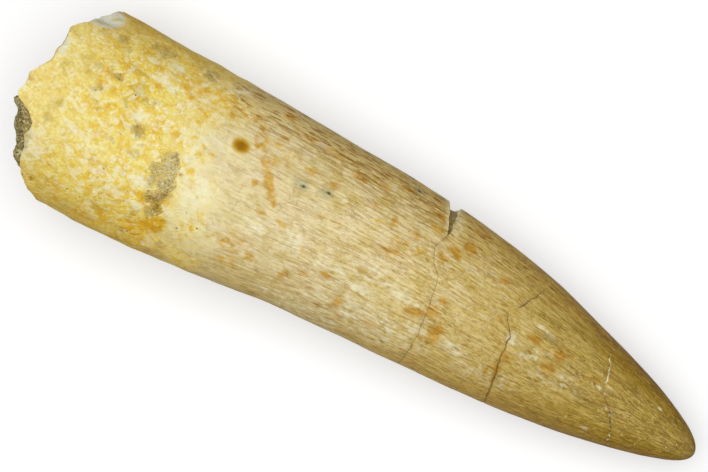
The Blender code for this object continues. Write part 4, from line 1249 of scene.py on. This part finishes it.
@dataclass
class Tooth:
    """The tooth's fine skin: broken end, root, ridged crown, breaks and tip.

    Ridge ends are the x where every second ridge ends, where every fourth does, and one past the tip for
    the others. The tip's place is the y and z that the materials take it to be at.
    """

    form: ToothForm
    cavity: PulpCavity
    marks: Marks = Marks()
    ridges: int = 120
    columns_per_ridge: int = 4
    root_rings: int = 58
    crown_rings: int = 46
    gap_rings: tuple[int, int] = (18, 20)
    tip_rings: int = 26
    face_rings: int = 9
    rim_lip: float = 0.08
    ridge_height: float = 0.014
    ridge_wander: float = 1.1
    ridge_start: float = 1.5
    ridge_scatter: float = 2.4
    ridge_ends: Triple = (9.0, 17.0, 40.0)
    fade_start: float = 20.0
    ridge_stop: float = 25.0
    wander_stop: float = 25.6
    fine_height: float = 0.008
    fine_size: float = 0.35
    face_rough: tuple[float, float] = (0.12, 0.06)
    face_reach: float = 0.985
    floor_share: float = 0.55
    tip_place: tuple[float, float] = (-1.2, 3.7)
    grain_radius: float = 6.9
    grain_taper: float = 0.25
    smooth_under: float = 50.0
    rim_shade: ClosedLine = around(
        (-180, 0.3), (-70, 0.3), (-45, 0.0), (-12, 0.0), (8, 0.1), (14, 0.7), (34, 0.7), (42, 0.3),
        (52, 0.5), (70, 0.2), jitter=0.3, seed=41.0,
    )
    breaks: tuple[GluedBreak, ...] = (
        GluedBreak(
            line=around(
                (-150, 4.6), (-110, 5.0), (-74, 5.36), (-58, 5.43), (-34, 5.54), (-18, 5.36), (-7, 5.2),
                (10, 4.87), (17, 4.17), (28, 3.8), (38, 4.15), (41, 4.17), (45, 4.05), (50, 3.84),
                (65, 3.56), (80, 3.24), (95, 3.25), (110, 3.5), (140, 3.9), (175, 4.3),
                jitter=0.09, seed=11.0,
            ),
            width=around(
                (-180, 0.07), (40, 0.07), (43, 0.22), (46, 0.34), (50, 0.47), (56, 0.60), (65, 0.80),
                (75, 0.98), (85, 1.05), (100, 0.9), (116, 0.1),
            ),
            depth=around(
                (-180, 0.03), (39, 0.03), (43, 0.22), (50, 0.42), (80, 0.52), (100, 0.45), (116, 0.03)
            ),
            dark=around(
                (-180, 0.5), (-60, 0.6), (-30, 0.6), (-10, 0.5), (10, 0.45), (20, 0.6), (37, 0.6), (118, 0.5),
                jitter=0.4, seed=2.0,
            ),
        ),
        GluedBreak(
            line=around(
                (-150, 11.2), (-110, 11.6), (-58, 11.47), (-40, 11.34), (-31, 11.25), (-16, 10.99),
                (-8, 11.02), (0, 10.94), (6, 10.55), (14, 10.15), (25, 10.7), (40, 11.29), (50, 11.55),
                (74, 12.0), (110, 11.8), (150, 11.3), jitter=0.10, seed=21.0,
            ),
            width=around(
                (-180, 0.08), (-58, 0.18), (-16, 0.13), (15, 0.06), (30, 0.09), (45, 0.06), (180, 0.07)
            ),
            depth=around(
                (-180, 0.03), (-70, 0.07), (-40, 0.10), (-8, 0.07), (8, 0.05), (16, 0.01), (26, 0.06),
                (45, 0.04), (55, 0.01),
            ),
            dark=around(
                (-180, 0.4), (-60, 0.45), (-30, 0.5), (-10, 0.72), (8, 0.7), (14, 0.45), (17, 0.0),
                (22, 0.1), (25, 0.8), (44, 0.8), (50, 0.3), (80, 0.3), jitter=0.5, seed=4.0,
            ),
        ),
        GluedBreak(
            line=around(
                (-150, 19.6), (-90, 20.3), (-37, 19.86), (-25, 19.52), (-13.4, 19.25), (-8, 18.87),
                (-1.4, 18.42), (8, 18.17), (13.7, 18.04), (33, 17.9), (39, 17.53), (48, 17.5), (80, 17.9),
                (130, 18.6), jitter=0.13, seed=31.0,
            ),
            width=around(
                (-180, 0.08), (-40, 0.12), (-10, 0.16), (10, 0.13), (34, 0.10), (60, 0.06),
                jitter=0.05, seed=8.0,
            ),
            depth=around((-180, 0.02), (-40, 0.05), (-10, 0.08), (20, 0.03), (60, 0.01)),
            dark=around(
                (-180, 0.2), (-60, 0.1), (-40, 0.4), (-25, 0.7), (-4, 0.8), (6, 0.5), (12, -0.2),
                (50, -0.3), jitter=1.6, seed=6.0,
            ),
            fill=around(
                (-70, 0.0), (-45, 0.3), (-30, 0.1), (-12, 0.0), (6, 0.2), (14, 0.7), (34, 0.5), (44, 0.3),
                (52, 0.0), jitter=1.4, seed=7.0,
            ),
        ),
    )

    @property
    def columns(self) -> int:
        """Vertices round the tooth."""
        return self.ridges * self.columns_per_ridge

    @property
    def angles(self) -> np.ndarray:
        """Angle of each column."""
        return np.arange(self.columns) * 360 / self.columns

    def make(self, effects: Effects) -> bpy.types.Object:
        """Builds the mesh and dresses it.

        Args:
            effects: the shared node groups.

        Returns:
            The finished object.
        """
        x, drop, *marks = np.moveaxis(np.array(self._rows()), 1, 0)
        angles = np.broadcast_to(self.angles, x.shape)
        skin, valley = self._skin(x, drop, angles)
        end = self._end_rings(skin[0])
        rings = np.concatenate([end, skin])
        rings[..., 2] = np.maximum(rings[..., 2], 0.0)
        tip_y, tip_z = (float(value[0]) for value in self.form.sides(np.array([self.form.half_length]))[:2])
        tip = np.array([self.form.half_length, tip_y, tip_z])
        made = closed_mesh("ridged_tooth", self.cavity.middle, rings, tip)
        tip_place = (self.form.half_length, *self.tip_place)
        place = np.vstack([rings.reshape(-1, 3), self.cavity.middle, tip_place])
        layers = (Layer.VALLEY, Layer.GROOVE, Layer.FILL, Layer.FLOOR, Layer.BEVEL)
        self._carry_values(made.data, place, x, angles, dict(zip(layers, (valley, *marks))))
        self._dress(made, len(end), effects)
        return made

    def _between(self, start: np.ndarray, end: np.ndarray, count: int) -> list[tuple]:
        """Plain rows from start up to but not on end."""
        none = np.zeros(self.columns)
        shares = np.arange(count) / count
        return [(start * (1 - s) + end * s, none, none, none, none, none) for s in shares]

    def _break_rows(self, glued: GluedBreak) -> list[tuple]:
        """Rows across one glued break, from the lip on the root side to the lip on the tip side."""
        angles = self.angles
        line, width, depth = glued.line.at(angles), glued.width.at(angles), glued.depth.at(angles)
        dark, fill = np.clip(glued.dark.at(angles), 0, 1), np.clip(glued.fill.at(angles), 0, 1)
        notch = smooth_step(0.2, 0.3, width)
        wall = np.minimum(0.25 * width, 0.05)
        # Painted shade, carried by the groove colour: the notch's floor grows darker towards its narrow end.
        shade = notch * (0.14 + 0.7 * smooth_step(60.0, 43.0, angles))
        none, dark = np.zeros(self.columns), dark * (1 - notch)
        near, far = line + (0.5 + 0.30 * notch) * width, line + (0.56 + 0.29 * notch) * width
        # The bevel rows take the pale facet colour, which is partly painted highlight.
        return [
            (line, none, 0.1 * dark, none, none, 0.5 * notch),
            (line + 0.3 * wall, 0.1 * depth * (1 - notch), 0.5 * dark, fill, none, 0.8 * notch),
            (line + wall, depth, dark + shade, fill, notch, none),
            (near, depth * (1 - 0.2 * notch), dark + 0.5 * shade, fill, notch, none),
            (far, depth * (0.9 - 0.3 * notch), 0.9 * dark, fill, none, notch),
            (line + (0.85 + 0.08 * notch) * width, 0.25 * depth, 0.4 * dark, 0.5 * fill, none, 0.9 * notch),
            (line + width, none, 0.1 * dark, none, none, 0.25 * notch),
        ]

    def _tip_rows(self, start: np.ndarray) -> list[tuple]:
        """Rows from the last break to the tip, closer together towards it."""
        none = np.zeros(self.columns)
        far = np.sqrt(self.form.half_length - start)
        shares = 1 - np.arange(1, self.tip_rings + 1) / (self.tip_rings + 1)
        return [(self.form.half_length - (s * far) ** 2, none, none, none, none, none) for s in shares]

    def _rows(self) -> list[tuple]:
        """Every row of the skin from the rim to the tip: x, drop, groove, fill, notch floor and bevel."""
        angles = self.angles
        rim, enamel = self.form.rim.at(angles), self.form.enamel_line.at(angles)
        none = np.zeros(self.columns)
        rows = [(rim, none, self.rim_shade.at(angles), none, none, none)]
        rows += self._between(rim + self.rim_lip, enamel, self.root_rings)
        rows += self._between(enamel, self.breaks[0].line.at(angles), self.crown_rings)
        for glued, following, count in zip(self.breaks, self.breaks[1:], self.gap_rings):
            rows += self._break_rows(glued)
            rows += self._between(glued.far_side(angles), following.line.at(angles), count)[1:]
        last = self.breaks[-1]
        return rows + self._break_rows(last) + self._tip_rows(last.far_side(angles))

    def _skin(self, x: np.ndarray, drop: np.ndarray, angles: np.ndarray) -> tuple[np.ndarray, np.ndarray]:
        """Points of the skin with its relief.

        Args:
            x: places along the tooth, one row to a ring.
            drop: depth of grooves and notches.
            angles: angles of the columns.

        Returns:
            The points, and how deep each is in a valley between ridges.
        """
        wrapped = self.form.wrapped(x, angles)
        past = x - self.form.enamel_line.at(angles[0])
        enamel = smooth_step(0.0, self.ridge_start, past)
        wander = noise_at(wrapped, 2.2, 5.0) * smooth_step(self.wander_stop, self.fade_start, x)
        moved = angles + self.ridge_wander * wander
        ridge, valley = self._ridges(x, past)
        fine = self.fine_height * noise_at(wrapped, self.fine_size, 17.0)
        raised = self.form.relief(x, moved, enamel) + fine + ridge - drop
        return self.form.points(x, moved, raised), valley

    def _ridges(self, x: np.ndarray, past: np.ndarray) -> tuple[np.ndarray, np.ndarray]:
        """Height of the enamel's ridges, and their valleys from 0 to 1."""
        column = np.arange(self.columns)
        profile = np.array([1.0, 0.0, -1.0, 0.0])[column % self.columns_per_ridge][None]
        ridge = (column + 1) // self.columns_per_ridge % self.ridges
        draw = noise_at(np.stack([ridge + 0.5, ridge * 0 + 0.5, ridge * 0 + 0.5], -1), 1.0)
        start = self.ridge_scatter * np.abs(draw)
        turn = np.radians(ridge * 360 / self.ridges)
        loop = np.broadcast_to(np.stack([9 * np.sin(turn), 9 * np.cos(turn)], -1)[None], (*x.shape, 2))
        runs = noise_at(np.concatenate([x[..., None] / 3.0, loop * 2.0], -1), 0.8, 23.0)
        strength = smooth_step(start, start + self.ridge_start, past) * np.clip(0.85 + 0.9 * runs, 0.25, 1.3)
        odd, fourth, full = self.ridge_ends
        ends = np.where(ridge % 2 == 1, odd + 3 * draw, np.where(ridge % 4 == 2, fourth + 2 * draw, full))
        strength = strength * smooth_step(ends + 2.0, ends - 2.0, x)
        strength = strength * smooth_step(self.ridge_stop, self.fade_start, x)
        return self.ridge_height * strength * profile, np.clip(-profile, 0, 1) * strength

    def _end_rings(self, rim: np.ndarray) -> np.ndarray:
        """Rings from the cavity's floor up its wall and over the broken face, up to but not on the rim."""
        angles, cavity = self.angles, self.cavity
        floor_edge = cavity.wall(cavity.floor_x, angles, 0.0)
        floor = cavity.middle + self.floor_share * (floor_edge - cavity.middle)
        wall = cavity.wall(cavity.edge_x, angles, 0.0)
        mouth = cavity.wall(cavity.mouth_x(self.form.rim, angles), angles, 0.0)
        rings = [floor, wall, mouth]
        coarse, fine = self.face_rough
        for share in np.linspace(0, 1, self.face_rings + 1)[1:] * self.face_reach:
            ring = mouth + share * (rim - mouth)
            rough = coarse * noise_at(ring, 0.8) + fine * noise_at(ring, 0.3, 4.0)
            ring[:, 0] += rough * min(1.0, 4 * (1 - share))
            rings.append(ring)
        return np.array(rings)

    def _carry_values(
        self,
        mesh: bpy.types.Mesh,
        place: np.ndarray,
        x: np.ndarray,
        angles: np.ndarray,
        values: dict[Layer, np.ndarray],
    ) -> None:
        """Stores on the mesh all that its materials read.

        Args:
            mesh: the tooth's mesh.
            place: all its points: the broken end's, the skin's and the two that close it.
            x: places along the skin.
            angles: angles of the skin's columns.
            values: other numbers of the skin by layer.
        """
        turn = np.radians(angles)
        half_width = np.maximum(self.form.sides(x)[2], 0.3)
        radius = self.grain_radius * (half_width / self.grain_radius) ** self.grain_taper
        grain = np.stack([x, radius * np.sin(turn), radius * np.cos(turn)], -1).reshape(-1, 3)
        end_count = len(place) - len(grain) - 2
        carry(mesh, Layer.PLACE, place)
        ends = np.repeat(grain[:1], end_count, axis=0)
        carry(mesh, Layer.GRAIN, np.vstack([ends, grain, grain[:1], grain[-1:]]))
        carry(mesh, Layer.COATING, self._coating(place))
        values = {
            Layer.PAST_LINE: x - self.form.enamel_line.at(angles[0]),
            Layer.FLANK: 1 - np.cos(turn),
            **values,
        }
        for layer, numbers in values.items():
            carry(mesh, layer, np.concatenate([np.zeros(end_count), numbers.ravel(), [0.0, numbers[-1, 0]]]))
        top_side = smooth_step(3.5, 5.0, place[:, 2])
        for layer, cover in self.marks.covers(place).items():
            carry(mesh, layer, top_side * cover)

    def _coating(self, place: np.ndarray) -> np.ndarray:
        """How thickly sand from the plug coats the broken end face, from 0 to 1."""
        cavity = self.cavity
        across = (place[:, 1] - cavity.y - 0.6) / (cavity.half_width + 0.4)
        up = (place[:, 2] - cavity.z) / (cavity.half_height + 0.6)
        over = smooth_step(1.35, 0.9, np.hypot(across, up))
        return over * smooth_step(-1.5, 1.5, place[:, 2] - cavity.z)

    def _dress(self, made: bpy.types.Object, end_count: int, effects: Effects) -> None:
        """Gives the tooth its two materials and its shading."""
        mesh = made.data
        mesh.materials.append(ToothFinish().build(effects))
        mesh.materials.append(BrokenFinish().build(effects, self.cavity))
        indices = np.full(len(mesh.polygons), Skin.OUTSIDE.value, dtype=np.int32)
        indices[: end_count * self.columns] = Skin.BROKEN_END.value
        first_fan = len(mesh.polygons) - 2 * self.columns
        indices[first_fan : first_fan + self.columns] = Skin.BROKEN_END.value
        mesh.polygons.foreach_set("material_index", indices)
        mesh.shade_smooth()
        mesh.set_sharp_from_angle(angle=math.radians(self.smooth_under))


@dataclass
class MatrixPlug:
    """Sandy rock that fills the pulp cavity and bulges out of it.

    The reach is rows of y and the x that the bulge comes out to there. The nub is its y, z, radius and
    height.
    """

    form: ToothForm
    cavity: PulpCavity
    columns: int = 240
    dome_rings: int = 70
    wall_rings: int = 8
    reach: tuple[tuple[float, float], ...] = (
        (-5.4, -25.4), (-4.9, -24.95), (-4.26, -24.35), (-3.67, -24.4), (-3.26, -24.75), (-2.6, -24.88),
        (-2.05, -24.75), (-1.4, -25.0), (0.4, -25.1),
    )
    nub: tuple[float, float, float, float] = (-1.5, 9.2, 0.55, 0.85)
    stretch: Triple = (1.0, 1.0, 0.65)
    spill: float = 0.22
    grain_size: float = 0.21
    fine_share: float = 0.45
    grain_height: float = 0.14
    lump_size: float = 1.3
    lump_height: float = 0.12

    def make(self, effects: Effects) -> bpy.types.Object:
        """Builds the mesh and dresses it.

        Args:
            effects: the shared node groups.

        Returns:
            The finished object.
        """
        angles = np.arange(self.columns) * 360 / self.columns
        inner_x = self.cavity.edge_x - self.cavity.fit_gap
        mouth_x = self.cavity.mouth_x(self.form.rim, angles)
        wall = [
            self.cavity.wall(inner_x * (1 - s) + mouth_x * s, angles, self.cavity.fit_gap)
            for s in np.linspace(0, 1, self.wall_rings)
        ]
        dome = [self._dome(wall[-1], share) for share in np.linspace(1, 0, self.dome_rings + 1)[1:-1]]
        middle = np.array([inner_x, self.cavity.y, self.cavity.z])
        dome, gaps = self._roughened(np.array(dome), middle)
        rings, outer = np.concatenate([wall, dome]), dome[-1].mean(axis=0)
        made = closed_mesh("sandy_plug", middle, rings, outer)
        place = np.vstack([rings.reshape(-1, 3), middle, outer])
        carry(made.data, Layer.PLACE, place * self.stretch)
        sunk = np.concatenate([np.zeros(self.wall_rings * self.columns), gaps, [0.0, 0.0]])
        carry(made.data, Layer.VALLEY, sunk)
        carry(made.data, Layer.COATING, np.ones(len(place)))
        made.data.materials.append(MatrixFinish().build(effects))
        made.data.shade_smooth()
        return made

    def _dome(self, edge: np.ndarray, share: float) -> np.ndarray:
        """One ring of the bulging face at a share of the way out from its middle."""
        middle = np.stack([edge[:, 0], edge[:, 0] * 0 + self.cavity.y, edge[:, 0] * 0 + self.cavity.z], -1)
        ring = middle + share * (edge - middle)
        spill = self.spill * float(smooth_step(0.6, 0.95, np.array(share)))
        ring[:, 1:] += spill * (edge - middle)[:, 1:] / 3
        reach = np.interp(ring[:, 1], *np.transpose(self.reach))
        ring[:, 0] += (reach - ring[:, 0]) * math.sqrt(1 - share * share)
        nub_y, nub_z, radius, height = self.nub
        away = np.hypot(ring[:, 1] - nub_y, ring[:, 2] - nub_z) / radius
        ring[:, 0] -= height * np.exp(-away * away)
        return ring

    def _roughened(self, rings: np.ndarray, middle: np.ndarray) -> tuple[np.ndarray, np.ndarray]:
        """Rings pushed out and in by their grains, and how far each point is sunk between grains."""
        points = rings.reshape(-1, 3)
        outward = points - middle
        outward /= np.linalg.norm(outward, axis=1, keepdims=True)
        coarse, fine, gaps = mixed_grit_at(points * self.stretch, self.grain_size, self.fine_share, 5.0)
        grains = (coarse - 0.75) + 0.35 * (fine - 0.7)
        height = self.grain_height * grains + self.lump_height * noise_at(points, self.lump_size, 8.0)
        return (points + outward * height[:, None]).reshape(rings.shape), gaps


@dataclass
class MatrixCrust:
    """Thin ragged crust of sandy rock on the root's flank."""

    form: ToothForm
    angle: float = -17.5
    x: float = -14.2
    half_length: float = 1.2
    half_arc: float = 21.0
    thickness: float = 0.21
    sunk: float = 0.05
    lean: float = -0.4
    grain_size: float = 0.15
    fine_share: float = 0.5
    grain_height: float = 0.035
    fine_height: float = 0.02
    lump_size: float = 0.5
    lump_height: float = 0.07
    bared_under: float = 0.2
    finish: MatrixFinish = MatrixFinish(
        name="sandy_crust",
        specular=0.1,
        dark=srgb(186, 166, 104),
        middle=srgb(208, 192, 136),
        light=srgb(230, 220, 176),
        gap=srgb(138, 106, 36),
        stain=srgb(204, 184, 112),
        scale=7.0,
        gap_cover=0.42,
        bloom=0.4,
    )
    lobes: tuple[Spot, ...] = spots(
        (-14.75, -1.2, 0.75, 0.42, 0.85, 10), (-14.25, -0.45, 0.55, 0.85, 0.95, -25),
        (-13.9, -1.8, 0.55, 0.95, 1, 12), (-14.1, -2.95, 0.6, 0.45, 1, 25),
        (-13.6, -3.85, 0.4, 0.55, 0.8, 20),
    )
    soaked: tuple[Spot, ...] = spots(
        (-14, -3.5, 0.95, 0.8, 0.8), (-13.66, -2.6, 0.4, 0.22, 0.8, 70), (-14.9, -0.9, 0.5, 0.6, 0.3),
    )
    # Pits that the mesh does not sink, painted dark: painted shade in them, and a painted shadow line under
    # the lower lumps.
    pits: tuple[Spot, ...] = spots(
        (-13.66, -2.58, 0.38, 0.15, 1, 70), (-14.15, -3.05, 0.34, 0.09, 0.45, 10),
        (-14.8, -2.75, 0.16, 0.1), (-13.9, -0.2, 0.12, 0.1), (-13.75, -3.5, 0.14, 0.22),
    )

    def make(self, effects: Effects) -> bpy.types.Object:
        """Builds the mesh and dresses it.

        Args:
            effects: the shared node groups.

        Returns:
            The finished object.
        """
        bm = bmesh.new()
        bmesh.ops.create_icosphere(bm, subdivisions=6, radius=1)
        mesh = bpy.data.meshes.new("sandy_crust")
        bm.to_mesh(mesh)
        bm.free()
        ball = np.empty(len(mesh.vertices) * 3)
        mesh.vertices.foreach_get("co", ball)
        points, gaps, thick = self._pressed(ball.reshape(-1, 3))
        mesh.vertices.foreach_set("co", (points * MM).ravel())
        mesh.update()
        carry(mesh, Layer.PLACE, points)
        carry(mesh, Layer.VALLEY, gaps)
        carry(mesh, Layer.COATING, thick)
        carry(mesh, Layer.GOLD, cover_of(self.soaked, points))
        mesh.materials.append(self.finish.build(effects))
        mesh.shade_smooth()
        return new_object("sandy_crust", mesh)

    def _pressed(self, ball: np.ndarray) -> tuple[np.ndarray, ...]:
        """Presses a ball into a ragged crust along the skin.

        Args:
            ball: points of a ball with radius 1.

        Returns:
            The pressed points, how far each is sunk between grains plus the painted shade of the pits, and
            how thick the crust is there, from 0 to 1.
        """
        along, round_by, out = ball.T
        x = self.x + self.half_length * along + self.lean * round_by
        angles = self.angle + self.half_arc * round_by
        skin = self.form.relief(x, angles, 0.0)
        flat = self.form.points(x, angles, skin)
        coarse, fine, gaps = mixed_grit_at(flat, self.grain_size, self.fine_share, 7.0)
        pit_shade = cover_of(self.pits, flat)
        lumps = self.lump_height * noise_at(flat, self.lump_size, 3.0)
        top = self.thickness * cover_of(self.lobes, flat) - self.sunk + lumps
        top = top + self.grain_height * (coarse - 0.7) + self.fine_height * (fine - 0.7)
        edge = smooth_step(0.0, 0.25, out)
        raised = skin + top * edge - (self.thickness - 0.1 * np.minimum(out, 0)) * (1 - edge)
        return self.form.points(x, angles, raised), gaps + pit_shade, np.clip(top / self.bared_under + pit_shade, 0, 1)


@dataclass(frozen=True)
class Studio:
    """Pale floor, soft light from above and the camera straight above."""

    image_width: int = 708
    pixels_per_mm: float = 15.0
    axis_angle: float = 28.0
    middle_x: float = -1.27
    middle_y: float = 0.94
    subject_height: float = 5.0
    lens: float = 900.0
    sensor: float = 36.0
    floor_size: float = 1.2
    key_power: float = 31.0
    key_size: float = 1.5
    key_place: Triple = (-0.12, -0.02, 1.7)
    fill_strength: float = 0.25
    backdrop: Colour = (0.92, 0.92, 0.92, 1.0)
    floor_colour: Colour = (0.52, 0.52, 0.52, 1.0)
    floor_lift: Colour = (0.455, 0.455, 0.455, 1.0)
    floor_bounce: Colour = (0.46, 0.45, 0.43, 1.0)

    def make(self) -> None:
        """Builds the floor, the lights and the camera."""
        self._floor()
        self._light()
        self._camera()

    def _floor(self) -> None:
        """A plain pale floor, which throws little light back up at the tooth's flanks."""
        half = self.floor_size / 2
        corners = [(-half, -half, 0), (half, -half, 0), (half, half, 0), (-half, half, 0)]
        mesh = bpy.data.meshes.new("floor")
        mesh.from_pydata(corners, [], [(0, 1, 2, 3)])
        floor = new_object("floor", mesh)
        material = bpy.data.materials.new("pale_floor")
        material.use_nodes = True
        graph = Graph(material.node_tree)
        shader = material.node_tree.nodes["Principled BSDF"]
        seen = graph.node("LightPath", {}).outputs["Is Camera Ray"]
        graph.feed(shader.inputs["Base Color"], graph.lay(self.floor_bounce, self.floor_colour, seen))
        graph.feed(shader.inputs["Emission Color"], graph.lay((0.0, 0.0, 0.0, 1.0), self.floor_lift, seen))
        shader.inputs["Emission Strength"].default_value = 1.0
        shader.inputs["Roughness"].default_value = 0.9
        shader.inputs["Specular IOR Level"].default_value = 0.0
        mesh.materials.append(material)

    def _light(self) -> None:
        """One large soft light overhead and an even fill from all round."""
        lamp = bpy.data.lights.new("overhead", "AREA")
        lamp.energy = self.key_power
        lamp.shape = "SQUARE"
        lamp.size = self.key_size
        place = Vector(self.key_place)
        aim = place.to_track_quat("Z", "Y").to_matrix().to_4x4()
        new_object("overhead", lamp).matrix_world = Matrix.Translation(place) @ aim
        world = bpy.data.worlds.new("even_fill")
        world.use_nodes = True
        graph = Graph(world.node_tree)
        fill = world.node_tree.nodes["Background"]
        fill.inputs["Color"].default_value = (1.0, 1.0, 1.0, 1.0)
        fill.inputs["Strength"].default_value = self.fill_strength
        behind = graph.node("Background", {"Color": self.backdrop, "Strength": 1.0})
        seen = graph.node("LightPath", {}).outputs["Is Camera Ray"]
        both = graph.node("MixShader", {0: seen, 1: fill.outputs[0], 2: behind.outputs[0]})
        graph.feed(world.node_tree.nodes["World Output"].inputs["Surface"], both.outputs[0])
        bpy.context.scene.world = world

    def _camera(self) -> None:
        """A long lens straight above, turned so that the tooth lies as in the photograph."""
        data = bpy.data.cameras.new("camera")
        data.lens = self.lens
        data.sensor_width = self.sensor
        data.clip_start = 0.01
        distance = self.image_width / self.pixels_per_mm * self.lens / self.sensor
        place = Vector((self.middle_x, self.middle_y, self.subject_height + distance)) * MM
        turn = Matrix.Rotation(math.radians(self.axis_angle), 4, "Z")
        camera = new_object("camera", data)
        camera.matrix_world = Matrix.Translation(place) @ turn
        bpy.context.scene.camera = camera
        bpy.context.scene.view_settings.view_transform = "Standard"


def place_piece(piece: bpy.types.Object, node: str) -> None:
    """Puts a piece in the place of a node of the model, and reports it."""
    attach(piece, "root")
    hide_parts(node)
    log.info("%s stands for %s: %d faces", piece.name, node, len(piece.data.polygons))


def main() -> None:
    """Builds and dresses every piece, then the studio."""
    logging.basicConfig(level=logging.INFO, format="%(name)s: %(message)s")
    half_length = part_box("tooth")[1][0] / MM
    form = ToothForm(half_length=round(half_length, 3))
    cavity = PulpCavity()
    effects = Effects()
    place_piece(Tooth(form, cavity).make(effects), "tooth")
    place_piece(MatrixPlug(form, cavity).make(effects), "matrix_plug")
    place_piece(MatrixCrust(form).make(effects), "matrix_crust")
    Studio().make()


if __name__ == "__main__":
    main()
